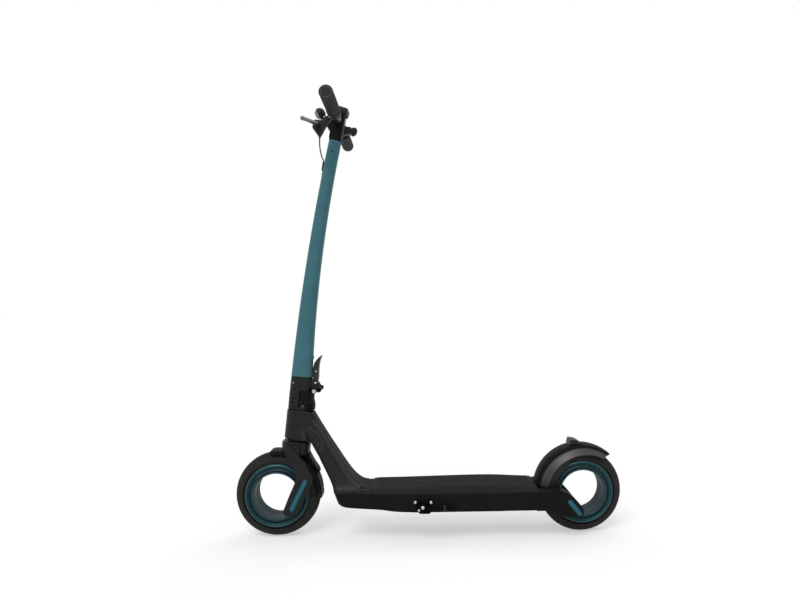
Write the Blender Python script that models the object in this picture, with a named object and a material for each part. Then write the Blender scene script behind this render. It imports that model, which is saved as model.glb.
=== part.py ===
"""Folding electric scooter with open-centre wheels, built from separate solids.

Metres, +Z up. The scooter stands on z = 0 and points along -X, so its left side faces -Y.
The origin is on the ground, midway between the two axles.
"""

import math

import bpy
import bmesh
from mathutils import Matrix, Vector

# Overall sizes
WHEELBASE = 0.789
BAR_HEIGHT = 1.0715
BAR_LENGTH = 0.439
DECK_TOP = 0.1268
DECK_HALF = 0.0725

# Clearances
SEAT = 0.0003
RUN = 0.0008
SWING = 0.0006

# Wheel, from the open bore outwards. A half width is measured from the wheel's middle plane.
TYRE_R = 0.108
TYRE_HALF = 0.0265
BORE_R = 0.0578
SLEEVE_WALL = 0.0042
SLEEVE_HALF = 0.0355
BEARING_HEIGHT = 0.0066
BEARING_IN = 0.0195
BEARING_OUT = 0.0255
STATOR_HALF = 0.0165
BAND_HALF = 0.011
RIM_HALF = 0.0210
RIM_WALL = 0.0110
FLANGE_HEIGHT = 0.0030
FLANGE_WIDTH = 0.0040
RING_HALF = 0.0320
RING_HEIGHT = 0.0093
RING_LIP = 0.0011

# Steering column, along the steering axis from the top of the fork crown
STEER_TILT = 5.0
STEER_SETBACK = 0.0487
CROWN_HEIGHT = 0.0155
CROWN_FRONT = 0.0368
CROWN_REAR = 0.0320
FENDER_GAP = 0.0050
HEAD_GAP = 0.0075
HEAD_LENGTH = 0.0743
HEAD_HALF = 0.0280
HEAD_FRONT = 0.0335
HEAD_REAR = 0.0315
BLOCK_GAP = 0.0016
BLOCK_LENGTH = 0.0481
BLOCK_HALF = 0.0255
BLOCK_FRONT = 0.0315
BLOCK_REAR = 0.0315
COLLAR_LENGTH = 0.0360
STEERER_R = 0.0150
STEERER_WALL = 0.0025
CUP_WALL = 0.0030
CUP_LENGTH = 0.0080

# Fold hinge and its lever, as offsets behind the column's axis and above the parting plane
PIN_R = 0.0030
PIN_BACK = 0.0332
PIN_UP = 0.0020
KNUCKLE_R = 0.0064
KNUCKLE_HALF = 0.0110
EAR_HALF = 0.0220
LEVER_BACK = 0.0335
LEVER_UP = 0.0225
LEVER_HALF = 0.0085
LEVER_EAR = 0.0035
LEVER_BARREL_R = 0.0048
KNOB_BACK = 0.0450
KNOB_UP = 0.0080
KNOB_R = 0.0056
STUB_R = 0.0018

# Stem: its middle line leaves the column and bows backwards with height
STEM_LEAN = 0.0725
STEM_BOW = 0.1107
STEM_DEPTH_LOW = 0.0535
STEM_DEPTH_TOP = 0.0310
STEM_WIDTH_LOW = 0.0460
STEM_WIDTH_TOP = 0.0360
STEM_WALL = 0.0025
STEM_BACK = -0.0042
HEAD_BELOW_BAR = 0.0465

# Handlebar
BAR_FORWARD = 0.0025
BAR_R = 0.0111
BAR_WALL = 0.0020
GRIP_R = 0.0167
GRIP_LENGTH = 0.1250
CLAMP_HALF = 0.0210

# Deck, fork and rear arms
DECK_DEPTH = 0.0533
DECK_WALL = 0.0035
MAT_THICKNESS = 0.0022
NECK_GAP = 0.0370
ARM_DROP = 0.0068
TONGUE = 0.0160
NOSE_HALF = 0.0560
LEG_THICKNESS = 0.0120
PAD_PROUD = 0.0009

# Charging port, from the front axle and down from the deck's top
PORT_BACK = 0.3750
PORT_DROP = 0.0260
PORT_R = 0.0078
PORT_DEPTH = 0.0060

# Kickstand: its boss leans down and out from the tray's left wall
STAND_BACK = 0.3720
STAND_DROP = 0.0420
STAND_TILT = -20.0
STAND_BOSS = 0.0170
STAND_BOSS_R = 0.0075
STAND_LENGTH = 0.0840

# Display and power button on the stem head, square to the display's face
DISPLAY_BACK = 0.0125
DISPLAY_UP = 0.0270
DISPLAY_TILT = 16.0
DISPLAY_LOW = -0.0090
DISPLAY_TOP = 0.0080
BUTTON_R = 0.0042
BUTTON_SINK = 0.0040
BUTTON_TRAVEL = 0.0012

# Headlamp
LAMP_R = 0.0152
LAMP_DIP = 28.0

# Brake lever and cable, as offsets from the handlebar's axis
BRAKE_Y = -0.0780
BRAKE_HALF = 0.0085
BRAKE_PIVOT = (-0.0425, -0.0325)
BRAKE_BARREL_R = 0.0058
BRAKE_BARREL_HALF = 0.0042
BRAKE_CHEEK = 0.0022
BRAKE_PIN_R = 0.0022
CABLE_R = 0.0016
GLAND_DROP = 0.1165
GLAND_TOP = 0.0125
GLAND_PROUD = 0.0050

# Thumb throttle, as offsets from the handlebar's axis
THROTTLE_Y = 0.0680
THROTTLE_HALF = 0.0085
THUMB = (0.0200, 0.0020)
THUMB_PIN_R = 0.0025

# Rear fender
REAR_FENDER_GAP = 0.0148
REAR_FENDER_HALF = 0.0378
REAR_FENDER_SKIRT = 0.0310
REAR_FENDER_REST = 0.0005
REAR_FENDER_END = 52.5
FENDER_SKIN = 0.0024
FRONT_FENDER_SKIN = 0.0018

FRONT_X = -WHEELBASE / 2
REAR_X = WHEELBASE / 2
ROUND = 36
SMALL_ROUND = 20

# Radii that follow from the wheel's stack
SLEEVE_R = BORE_R + SLEEVE_WALL
BEARING_R = SLEEVE_R + SEAT + BEARING_HEIGHT
ROTOR_R = BEARING_R + RUN
RING_R = ROTOR_R + RING_HEIGHT
RIM_R = ROTOR_R + RIM_WALL
FLANGE_R = RIM_R + FLANGE_HEIGHT
LEG_INNER = SLEEVE_HALF + SEAT
LEG_OUTER = LEG_INNER + LEG_THICKNESS
REAR_FENDER_R = TYRE_R + REAR_FENDER_GAP
NECK_SETBACK = TYRE_R + NECK_GAP

# The fender's front end rests just above the arms, on its lower corner. The tray ends just short
# of it, and the arms lie just inside the tray's sides.
REST_HEIGHT = DECK_TOP - ARM_DROP + REAR_FENDER_REST - TYRE_R
REST_RADIUS = REAR_FENDER_R - (REAR_FENDER_SKIRT if REST_HEIGHT > 0 else 0.0)
REST_ANGLE = math.asin(REST_HEIGHT / REST_RADIUS)
REAR_FENDER_START = 180 - math.degrees(REST_ANGLE)
DECK_END = WHEELBASE - REAR_FENDER_R * math.cos(max(REST_ANGLE, 0.0)) - 0.0004
ARM_OUTER = DECK_HALF - 0.0008

# Base colour, roughness and metallic value of each finish
FINISHES = {
    "black_paint": ((0.013, 0.013, 0.014), 0.40, 0.1),
    "black_plastic": ((0.011, 0.011, 0.012), 0.50, 0.0),
    "black_metal": ((0.015, 0.015, 0.016), 0.35, 0.6),
    "teal_paint": ((0.032, 0.120, 0.145), 0.32, 0.7),
    "teal_ring": ((0.024, 0.088, 0.100), 0.35, 0.7),
    "teal_stripe": ((0.020, 0.215, 0.270), 0.40, 0.1),
    "rubber": ((0.014, 0.014, 0.014), 0.80, 0.0),
    "mat": ((0.022, 0.022, 0.023), 0.90, 0.0),
    "steel": ((0.55, 0.55, 0.56), 0.30, 1.0),
    "dark_steel": ((0.10, 0.10, 0.11), 0.40, 1.0),
    "copper": ((0.45, 0.20, 0.10), 0.40, 0.9),
    "battery_wrap": ((0.02, 0.06, 0.16), 0.45, 0.0),
    "clear_lens": ((0.75, 0.78, 0.80), 0.08, 0.0),
    "red_lens": ((0.30, 0.01, 0.01), 0.15, 0.0),
}


def finish(name):
    """The material of that name, made on first use."""
    made = bpy.data.materials.get(name)
    if made:
        return made
    colour, roughness, metallic = FINISHES[name]
    made = bpy.data.materials.new(name)
    made.use_nodes = True
    shader = made.node_tree.nodes["Principled BSDF"]
    shader.inputs["Base Color"].default_value = (*colour, 1.0)
    shader.inputs["Roughness"].default_value = roughness
    shader.inputs["Metallic"].default_value = metallic
    made.diffuse_color = (*colour, 1.0)
    return made


def add_object(name, mesh_builder, material, sharp=35):
    """Makes a named object from a bmesh, with its faces pointing out."""
    bmesh.ops.recalc_face_normals(mesh_builder, faces=mesh_builder.faces)
    mesh = bpy.data.meshes.new(name)
    mesh_builder.to_mesh(mesh)
    mesh_builder.free()
    mesh.materials.append(finish(material))
    mesh.shade_smooth()
    mesh.set_sharp_from_angle(angle=math.radians(sharp))
    made = bpy.data.objects.new(name, mesh)
    bpy.context.scene.collection.objects.link(made)
    return made


def loft(name, loops, material, closed=False, sharp=35):
    """A skin through loops of equally many points, capped at its ends unless it closes on itself."""
    build = bmesh.new()
    rows = [[build.verts.new(point) for point in loop] for loop in loops]
    count = len(rows[0])
    pairs = list(zip(rows, rows[1:]))
    if closed:
        pairs.append((rows[-1], rows[0]))
    for low, high in pairs:
        for i in range(count):
            j = (i + 1) % count
            build.faces.new((low[i], low[j], high[j], high[i]))
    if not closed:
        build.faces.new(rows[0])
        build.faces.new(rows[-1])
    return add_object(name, build, material, sharp)


def plate(name, outline, y_low, y_high, material):
    """A flat plate: an outline of (x, z) points carried from y_low to y_high."""
    loops = [[Vector((x, y, z)) for x, z in outline] for y in (y_low, y_high)]
    return loft(name, loops, material, sharp=25)


def axis_frame(origin, axis):
    """A frame at origin whose Z lies along axis."""
    turn = Vector(axis).normalized().to_track_quat("Z", "Y").to_matrix().to_4x4()
    return Matrix.Translation(Vector(origin)) @ turn


def circle(radius, count):
    """Points on a circle round Z."""
    angles = [2 * math.pi * i / count for i in range(count)]
    return [(radius * math.cos(a), radius * math.sin(a)) for a in angles]


def turned(name, frame, profile, material, count=ROUND, closed=True):
    """A turned piece: (height, radius) points, joined into a ring, or capped at both ends."""
    loops = []
    for height, radius in profile:
        loops.append([frame @ Vector((x, y, height)) for x, y in circle(radius, count)])
    return loft(name, loops, material, closed)


def rod(name, frame, low, high, radius, material, count=SMALL_ROUND):
    """A plain round bar along the frame's Z."""
    return turned(name, frame, [(low, radius), (high, radius)], material, count, closed=False)


def wheel_frame(x, y=0.0, z=TYRE_R):
    """A frame on an axle: its Z lies along +Y, and its X is the world's X."""
    return Matrix.Translation((x, y, z)) @ Matrix.Rotation(-math.pi / 2, 4, "X")


def cut(piece, *cutters):
    """Takes each cutter away from the piece."""
    for cutter in cutters:
        combine(piece, cutter, "DIFFERENCE")


def fuse(piece, *lumps):
    """Joins each lump to the piece."""
    for lump in lumps:
        combine(piece, lump, "UNION")


def combine(piece, tool, operation):
    """A boolean with a tool object that isn't part of the model itself."""
    tool.hide_render = True
    tool.display_type = "WIRE"
    step = piece.modifiers.new(tool.name, "BOOLEAN")
    step.operation = operation
    step.solver = "EXACT"
    step.object = tool


def box_loop(half_u, half_v, corner, steps=4, middle=(0.0, 0.0)):
    """A rounded rectangle as (u, v) points."""
    points = []
    for quarter, (su, sv) in enumerate(((1, 1), (-1, 1), (-1, -1), (1, -1))):
        for i in range(steps + 1):
            angle = math.pi / 2 * (quarter + i / steps)
            u = middle[0] + su * (half_u - corner) + corner * math.cos(angle)
            v = middle[1] + sv * (half_v - corner) + corner * math.sin(angle)
            points.append((u, v))
    return points


def oval_loop(half_u, half_v, power=2.6, count=24):
    """A rounded oval between an ellipse and a box, as (u, v) points."""
    points = []
    for i in range(count):
        angle = 2 * math.pi * i / count
        c = math.cos(angle)
        s = math.sin(angle)
        u = half_u * math.copysign(abs(c) ** (2 / power), c)
        v = half_v * math.copysign(abs(s) ** (2 / power), s)
        points.append((u, v))
    return points


def span_loop(low_u, high_u, half_v, corner, steps=4):
    """A rounded rectangle from low_u to high_u, as wide as half_v each way."""
    half_u = (high_u - low_u) / 2
    corner = min(corner, 0.9 * half_u, 0.9 * half_v)
    return box_loop(half_u, half_v, corner, steps, middle=((low_u + high_u) / 2, 0.0))


def arc(centre, radius, start, end, steps):
    """(x, z) points on an arc, with its angles in degrees from +X towards +Z."""
    points = []
    for i in range(steps + 1):
        angle = math.radians(start + (end - start) * i / steps)
        points.append((centre[0] + radius * math.cos(angle), centre[1] + radius * math.sin(angle)))
    return points


def mix(a, b, share):
    """The value that lies the given share of the way from a to b."""
    return a + (b - a) * share


# The steering axis: heights along it start at the top of the fork crown
STEER_LINE = Vector((math.sin(math.radians(STEER_TILT)), 0, math.cos(math.radians(STEER_TILT))))
CROWN_TOP = 2 * TYRE_R + FENDER_GAP + FRONT_FENDER_SKIN + CROWN_HEIGHT + 0.0047
STEER_FOOT = Vector((FRONT_X + STEER_SETBACK, 0, CROWN_TOP))
STEER = Matrix.Translation(STEER_FOOT) @ Matrix.Rotation(math.radians(STEER_TILT), 4, "Y")
HEAD_LOW = HEAD_GAP
HEAD_TOP = HEAD_LOW + HEAD_LENGTH
BLOCK_LOW = HEAD_TOP + BLOCK_GAP
PARTING = BLOCK_LOW + BLOCK_LENGTH
COLLAR_LOW = PARTING + SWING / 2
COLLAR_TOP = COLLAR_LOW + COLLAR_LENGTH


def column(back, across, height):
    """A world point from its place behind the steering axis, across it and along it."""
    return STEER @ Vector((back, across, height))


def column_loop(low, high, half, corner, height, steps=4):
    """A rounded rectangle square to the steering axis."""
    return [column(u, v, height) for u, v in span_loop(low, high, half, corner, steps)]


def column_point(back, height):
    """The (x, z) place of a point in the column's middle plane."""
    place = column(back, 0, height)
    return (place.x, place.z)


PIN = column(PIN_BACK, 0, PARTING + PIN_UP)
LEVER_PIVOT = column(LEVER_BACK, 0, PARTING + LEVER_UP)
KNOB = column(KNOB_BACK, 0, PARTING + KNOB_UP)
STEM_FOOT = column(STEM_BACK, 0, COLLAR_TOP + SEAT)
STEM_TOP_Z = BAR_HEIGHT - HEAD_BELOW_BAR


def stem_x(z):
    """Where the stem's middle line is at a height."""
    rise = z - STEM_FOOT.z
    return STEM_FOOT.x + STEM_LEAN * rise + STEM_BOW * rise * rise


def stem_size(z):
    """The stem's half depth and half width at a height. It tapers quickly and then more slowly."""
    share = (z - STEM_FOOT.z) / (STEM_TOP_Z - STEM_FOOT.z)
    eased = 1 - (1 - share) ** 2.2
    depth = mix(STEM_DEPTH_LOW, STEM_DEPTH_TOP, 0.80 * eased + 0.20 * share)
    width = mix(STEM_WIDTH_LOW, STEM_WIDTH_TOP, share)
    return depth / 2, width / 2


def stem_slope(z):
    """How far the stem's middle line leans back for each metre it rises."""
    return STEM_LEAN + 2 * STEM_BOW * (z - STEM_FOOT.z)


def stem_front(z):
    """Where the stem's front surface is at a height, its slices being square to the middle line."""
    depth = stem_size(z)[0]
    middle = z - depth * stem_slope(z)
    return stem_x(middle) - stem_size(middle)[0]


# Places that the handlebar's parts are measured from
BAR_X = stem_x(BAR_HEIGHT) - BAR_FORWARD
GLAND_Z = BAR_HEIGHT - GLAND_DROP
DISPLAY_MIDDLE = Vector((BAR_X + DISPLAY_BACK, 0, BAR_HEIGHT + DISPLAY_UP))
DISPLAY_TURN = Matrix.Rotation(math.radians(DISPLAY_TILT), 4, "Y")
DISPLAY_FRAME = Matrix.Translation(DISPLAY_MIDDLE) @ DISPLAY_TURN
BRAKE_AXIS = Vector((-0.61, 0, 0.79)).normalized()
BRAKE_PULL = Vector((0.79, 0, 0.61)).normalized()

# Places on the tray's sides
PORT_X = FRONT_X + PORT_BACK
PORT_Z = DECK_TOP - PORT_DROP
STAND_Y = -DECK_HALF - SEAT - 0.0030
STAND_PIVOT = Vector((FRONT_X + STAND_BACK, STAND_Y, DECK_TOP - STAND_DROP))
STAND_TURN = Matrix.Rotation(math.radians(STAND_TILT), 4, "X")
STAND_FRAME = Matrix.Translation(STAND_PIVOT) @ STAND_TURN @ Matrix.Rotation(math.pi / 2, 4, "X")


def side_sign(side):
    """The sign of y on a side of the scooter."""
    return -1 if side == "left" else 1


def spread(side, inner, outer):
    """The low and high y of a slab that lies between two distances from the middle plane."""
    return (-outer, -inner) if side == "left" else (inner, outer)


def wheel(end, x, drive):
    """One open-centre wheel: tyre, rim and side rings turn; sleeve, bearings and drive ring don't."""
    frame = wheel_frame(x)
    bead = FLANGE_R + SEAT
    half = [(FLANGE_WIDTH - RIM_HALF + SEAT, RIM_R + SEAT), (FLANGE_WIDTH - RIM_HALF + SEAT, bead)]
    half.append((-RIM_HALF - 0.0005, bead))
    for degrees in (8, 28, 48, 69):
        a = math.radians(degrees)
        half.append((-TYRE_HALF * math.cos(a), bead + (TYRE_R - bead) * math.sin(a)))
    tyre = half + [(0.0, TYRE_R)] + [(-y, r) for y, r in reversed(half)]
    turned(f"{end}_tyre", frame, tyre, "rubber")
    lip = RIM_HALF - FLANGE_WIDTH
    rim = [(-RIM_HALF, ROTOR_R), (-RIM_HALF, FLANGE_R), (-lip, FLANGE_R), (-lip, RIM_R)]
    turned(f"{end}_rim", frame, rim + [(-y, r) for y, r in reversed(rim)], "black_metal")
    for side in ("left", "right"):
        sign = side_sign(side)
        ring = [
            (sign * (RIM_HALF + SEAT), ROTOR_R),
            (sign * RING_HALF, ROTOR_R),
            (sign * RING_HALF, ROTOR_R + RING_LIP),
            (sign * (RIM_HALF + SEAT), RING_R),
        ]
        turned(f"{end}_ring_{side}", frame, ring, "teal_ring")
        bearing = [
            (sign * BEARING_IN, SLEEVE_R + SEAT),
            (sign * BEARING_OUT, SLEEVE_R + SEAT),
            (sign * BEARING_OUT, BEARING_R),
            (sign * BEARING_IN, BEARING_R),
        ]
        turned(f"{end}_bearing_{side}", frame, bearing, "steel")
    sleeve = [
        (-SLEEVE_HALF, BORE_R),
        (SLEEVE_HALF, BORE_R),
        (SLEEVE_HALF, SLEEVE_R),
        (-SLEEVE_HALF, SLEEVE_R),
    ]
    turned(f"{end}_sleeve", frame, sleeve, "teal_ring")
    name, reach, metal = drive
    inside = [
        (-reach, SLEEVE_R + SEAT),
        (reach, SLEEVE_R + SEAT),
        (reach, BEARING_R),
        (-reach, BEARING_R),
    ]
    turned(name, frame, inside, metal)


def stripe(name, middle, tilt, size, side, outer):
    """A raised stadium pad on the outer face of a leg or an arm."""
    x, z = middle
    half = size[1] / 2
    run = size[0] / 2 - half
    flat = [(run + half * math.cos(a), half * math.sin(a)) for a in half_turn(-90)]
    flat += [(-run + half * math.cos(a), half * math.sin(a)) for a in half_turn(90)]
    c = math.cos(math.radians(tilt))
    s = math.sin(math.radians(tilt))
    outline = [(x + u * c - v * s, z + u * s + v * c) for u, v in flat]
    low, high = spread(side, outer - 0.002, outer + PAD_PROUD)
    return plate(name, outline, low, high, "teal_stripe")


def half_turn(start, steps=5):
    """Angles in radians over half a turn from a start in degrees."""
    return [math.radians(start + 180 * i / steps) for i in range(steps + 1)]


def fork():
    """The fork: a crown over the tyre, two legs, the steerer tube and the front fender."""
    axle = (FRONT_X, TYRE_R)
    crown_r = TYRE_R + FENDER_GAP + FRONT_FENDER_SKIN + SEAT
    loops = []
    for height, shrink in ((-0.0300, 0.0), (-0.0035, 0.0), (0.0, 0.0035)):
        low = shrink - CROWN_FRONT
        loops.append(column_loop(low, CROWN_REAR, SLEEVE_HALF - shrink / 2, 0.024, height, 6))
    crown = loft("fork_crown", loops, "black_paint")
    cut(crown, rod("crown_arch", wheel_frame(FRONT_X), -0.06, 0.06, crown_r, "steel", 48))
    steerer_top = BLOCK_LOW + 0.0260
    steerer = [
        (-0.0100, STEERER_R - STEERER_WALL),
        (steerer_top, STEERER_R - STEERER_WALL),
        (steerer_top, STEERER_R),
        (-0.0100, STEERER_R),
    ]
    turned("steerer_tube", STEER, steerer, "steel", SMALL_ROUND)
    cut(crown, rod("crown_bore", STEER, -0.06, 0.01, STEERER_R + SEAT, "steel"))
    for side in ("left", "right"):
        low, high = spread(side, LEG_INNER, LEG_OUTER)
        leg = plate(f"fork_leg_{side}", leg_outline(), low, high, "black_paint")
        middle = (FRONT_X + 0.0585, TYRE_R + 0.005)
        pad = stripe(f"leg_pad_{side}", middle, 64.0, (0.088, 0.0105), side, LEG_OUTER)
        fuse(leg, pad)
    guard = fender("front_fender", axle, front_fender_section(), FRONT_FENDER_SKIN, (98, -4), 14)
    skirt_r = crown_r - SEAT - FRONT_FENDER_SKIN / 2
    band = arc(axle, skirt_r, 52, 33, 4) + arc(axle, skirt_r + 0.0110, 33, 52, 4)
    fuse(guard, plate("fender_stay", band, -0.0160, 0.0160, "black_plastic"))


def leg_outline():
    """The fork leg from the side: down from the crown, back round the wheel, and in to the bore."""
    top = CROWN_TOP
    rows = [
        (0.0240, top - 0.0015),
        (0.0235, top - 0.0190),
        (0.0285, top - 0.0340),
        (0.0400, top - 0.0520),
        (0.0500, top - 0.0740),
    ]
    low = [
        (0.0510, 0.0460),
        (0.0460, 0.0300),
        (0.0360, 0.0070),
        (0.0250, -0.0210),
        (0.0200, -0.0360),
        (0.0230, -0.0440),
        (0.0330, -0.0480),
        (0.0460, -0.0455),
        (0.0560, -0.0375),
        (0.0700, -0.0120),
        (0.0850, 0.0170),
        (0.0930, 0.0360),
        (0.0930, 0.0520),
    ]
    back = [
        (0.0840, top - 0.0660),
        (0.0710, top - 0.0480),
        (0.0610, top - 0.0330),
        (0.0600, top - 0.0150),
        (0.0590, top - 0.0045),
    ]
    outline = [(FRONT_X + x, z) for x, z in rows]
    outline += [(FRONT_X + x, TYRE_R + z) for x, z in low]
    outline += [(FRONT_X + x, z) for x, z in back]
    return outline


def front_fender_section():
    """Half of the front fender's outer skin: distance from the middle plane, and radius."""
    outer = TYRE_R + FENDER_GAP + FRONT_FENDER_SKIN
    return [
        (0.0, outer),
        (0.016, outer - 0.0010),
        (0.0235, outer - 0.0040),
        (0.0270, outer - 0.0085),
    ]


def rear_fender_section():
    """Half of the rear fender's outer skin: it wraps down beside the tyre."""
    half = REAR_FENDER_HALF
    outer = REAR_FENDER_R
    return [
        (0.0, outer),
        (0.36 * half, outer - 0.0010),
        (0.66 * half, outer - 0.0048),
        (0.88 * half, outer - 0.0115),
        (0.985 * half, outer - 0.0200),
        (half, outer - REAR_FENDER_SKIRT),
    ]


def fender(name, axle, outer, skin, sweep, steps):
    """A curved guard: half an outer section, given a skin and carried round the axle."""
    inner = []
    for i, (y, r) in enumerate(outer):
        before = outer[max(i - 1, 0)]
        after = outer[min(i + 1, len(outer) - 1)]
        along = Vector((after[0] - before[0], after[1] - before[1])).normalized()
        if i == 0:
            along = Vector((1, 0))
        inner.append((y + along.y * skin, r - along.x * skin))
    outer_line = [(-y, r) for y, r in reversed(outer)] + outer[1:]
    inner_line = [(-y, r) for y, r in reversed(inner)] + inner[1:]
    loop = outer_line + list(reversed(inner_line))
    loops = []
    for i in range(steps + 1):
        angle = math.radians(mix(sweep[0], sweep[1], i / steps))
        c = math.cos(angle)
        s = math.sin(angle)
        loops.append([Vector((axle[0] + r * c, y, axle[1] + r * s)) for y, r in loop])
    return loft(name, loops, "black_plastic", sharp=50)


def head_tube():
    """The head tube, bored for the steerer, and its two bearings."""
    cup_r = STEERER_R + SEAT + CUP_WALL
    loops = []
    for height in (HEAD_LOW, mix(HEAD_LOW, HEAD_TOP, 0.5), HEAD_TOP):
        loops.append(column_loop(-HEAD_FRONT, HEAD_REAR, HEAD_HALF, 0.024, height, 6))
    tube = loft("head_tube", loops, "black_paint")
    bore = rod("head_bore", STEER, HEAD_LOW - 0.02, HEAD_TOP + 0.02, cup_r + SEAT, "steel")
    cut(tube, bore)
    places = {"upper": HEAD_TOP - CUP_LENGTH, "lower": HEAD_LOW}
    for name, low in places.items():
        ring = [
            (low, STEERER_R + SEAT),
            (low + CUP_LENGTH, STEERER_R + SEAT),
            (low + CUP_LENGTH, cup_r),
            (low, cup_r),
        ]
        turned(f"headset_bearing_{name}", STEER, ring, "steel", SMALL_ROUND)


def neck():
    """The neck: it leaves the head tube's back, widens downwards and lands on the deck."""
    head_z = column(HEAD_REAR, 0, HEAD_TOP).z
    foot_z = DECK_TOP + SEAT
    weld = HEAD_REAR + SEAT
    # Share of the height, front and rear edge behind the neck's foot, half width
    slices = [
        (0.000, 0.0000, 0.0910, 0.0520),
        (0.030, -0.0020, 0.0730, 0.0490),
        (0.090, -0.0075, 0.0570, 0.0450),
        (0.185, -0.0165, 0.0412, 0.0405),
        (0.320, -0.0310, 0.0235, 0.0365),
        (0.430, -0.0435, 0.0100, 0.0340),
        (0.540, -0.0565, -0.0035, 0.0315),
    ]
    foot_x = FRONT_X + NECK_SETBACK
    loops = []
    for share, front, rear, half in slices:
        z = mix(foot_z, head_z, share)
        flat = span_loop(foot_x + front, foot_x + rear, half, 0.020)
        loops.append([Vector((x, y, z)) for x, y in flat])
    upper = [
        (0.630, -0.0145, 0.0300),
        (0.735, -0.0270, 0.0290),
        (0.862, -0.0420, 0.0275),
        (0.985, -0.0560, 0.0250),
    ]
    for share, rear, half in upper:
        z = mix(foot_z, head_z, share)
        height = (z - STEER_FOOT.z) / STEER_LINE.z
        front = column(weld, 0, height).x
        flat = span_loop(front, foot_x + rear, half, 0.020)
        loops.append([Vector((x, y, z)) for x, y in flat])
    body = loft("neck", loops, "black_paint")
    relief = rod("crown_relief", STEER, -0.08, HEAD_LOW - 0.003, 0.0530, "steel", ROUND)
    cut(body, relief)


def tray_section(x):
    """The deck tray's depth, half width and forward lean at a place behind the front axle."""
    nose = NECK_SETBACK
    rows = [
        (nose, 0.75, 0.78 * NOSE_HALF, 0.40),
        (nose + 0.004, 0.77, 0.84 * NOSE_HALF, 0.38),
        (nose + 0.011, 0.82, 0.91 * NOSE_HALF, 0.34),
        (nose + 0.030, 0.84, mix(NOSE_HALF, DECK_HALF, 0.05), 0.20),
        (nose + 0.065, 0.85, mix(NOSE_HALF, DECK_HALF, 0.40), 0.0),
        (nose + 0.120, 0.88, mix(NOSE_HALF, DECK_HALF, 0.80), 0.0),
        (nose + 0.200, 1.0, DECK_HALF, 0.0),
        (DECK_END - 0.085, 1.0, DECK_HALF, 0.0),
        (DECK_END, 1.0, DECK_HALF, 0.0),
    ]
    for before, after in zip(rows, rows[1:]):
        if x <= after[0]:
            share = max(0.0, (x - before[0]) / (after[0] - before[0]))
            return [mix(a, b, share) for a, b in zip(before[1:], after[1:])]
    return list(rows[-1][1:])


def deck():
    """The deck tray with its bottom cover, rubber mat, battery pack and motor controller."""
    places = [NECK_SETBACK + d for d in (0, 0.004, 0.011, 0.030, 0.065, 0.120, 0.200)]
    places += [DECK_END - 0.085, DECK_END]
    loops = []
    for x in places:
        depth, half, lean = tray_section(x)
        deep = depth * DECK_DEPTH
        flat = box_loop(half, deep / 2, 0.007, 3, (0.0, DECK_TOP - deep / 2))
        loops.append([Vector((FRONT_X + x + lean * (DECK_TOP - z), y, z)) for y, z in flat])
    tray = loft("deck_tray", loops, "black_paint")
    hollow_start = NECK_SETBACK + 0.202
    tray_low = DECK_TOP - DECK_DEPTH
    loops = []
    for x in (hollow_start, DECK_END - DECK_WALL):
        half = tray_section(x)[1] - DECK_WALL
        flat = box_loop(half, 0.04, 0.002, 1, (0.0, DECK_TOP - DECK_WALL - 0.04))
        loops.append([Vector((FRONT_X + x, y, z)) for y, z in flat])
    cut(tray, loft("tray_hollow", loops, "steel"))
    for side in ("left", "right"):
        low, high = spread(side, LEG_INNER - SEAT, LEG_INNER + TONGUE + SEAT)
        slot = tongue_outline(0.02, SEAT)
        cut(tray, plate(f"tongue_slot_{side}", slot, low, high, "steel"))
    cover_end = DECK_END - 0.087
    cover_top = tray_low + 0.0025
    low_x = FRONT_X + hollow_start + SEAT
    high_x = FRONT_X + cover_end
    half = DECK_HALF - DECK_WALL - SEAT
    slab("deck_cover", (low_x, high_x), half, (tray_low, cover_top), 0.002, "black_metal")
    mat_low = DECK_TOP + SEAT
    mat = (FRONT_X + NECK_SETBACK + 0.117, FRONT_X + DECK_END - 0.004)
    mat_loops = []
    for z in (mat_low, mat_low + MAT_THICKNESS):
        flat = span_loop(mat[0], mat[1], DECK_HALF - 0.0085, 0.030, 5)
        mat_loops.append([Vector((x, y, z)) for x, y in flat])
    loft("deck_mat", mat_loops, "mat")
    inside = (cover_top + SEAT, DECK_TOP - DECK_WALL - 0.0012)
    pack_end = DECK_END - 0.131
    pack = (low_x + 0.004, FRONT_X + pack_end)
    slab("battery_pack", pack, half - 0.004, inside, 0.004, "battery_wrap")
    box = (FRONT_X + pack_end + 0.006, FRONT_X + cover_end)
    slab("controller", box, LEG_INNER - 0.003, (inside[0], inside[1] - 0.006), 0.002, "dark_steel")
    port()


def tongue_outline(behind, slack):
    """The side view of the tongue that an arm pushes into the tray, with some slack round it."""
    low = DECK_TOP - DECK_DEPTH + 0.0035 - slack
    top = DECK_TOP - DECK_WALL - 0.0015 + slack
    front = FRONT_X + DECK_END - 0.078 - slack
    back = FRONT_X + DECK_END + behind
    return [(front, low), (back, low), (back, top), (front, top)]


def slab(name, across_x, half, across_z, corner, material):
    """A block with rounded upright edges."""
    flat = span_loop(across_x[0], across_x[1], half, corner, 2)
    return loft(name, [[Vector((x, y, z)) for x, y in flat] for z in across_z], material)


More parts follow.
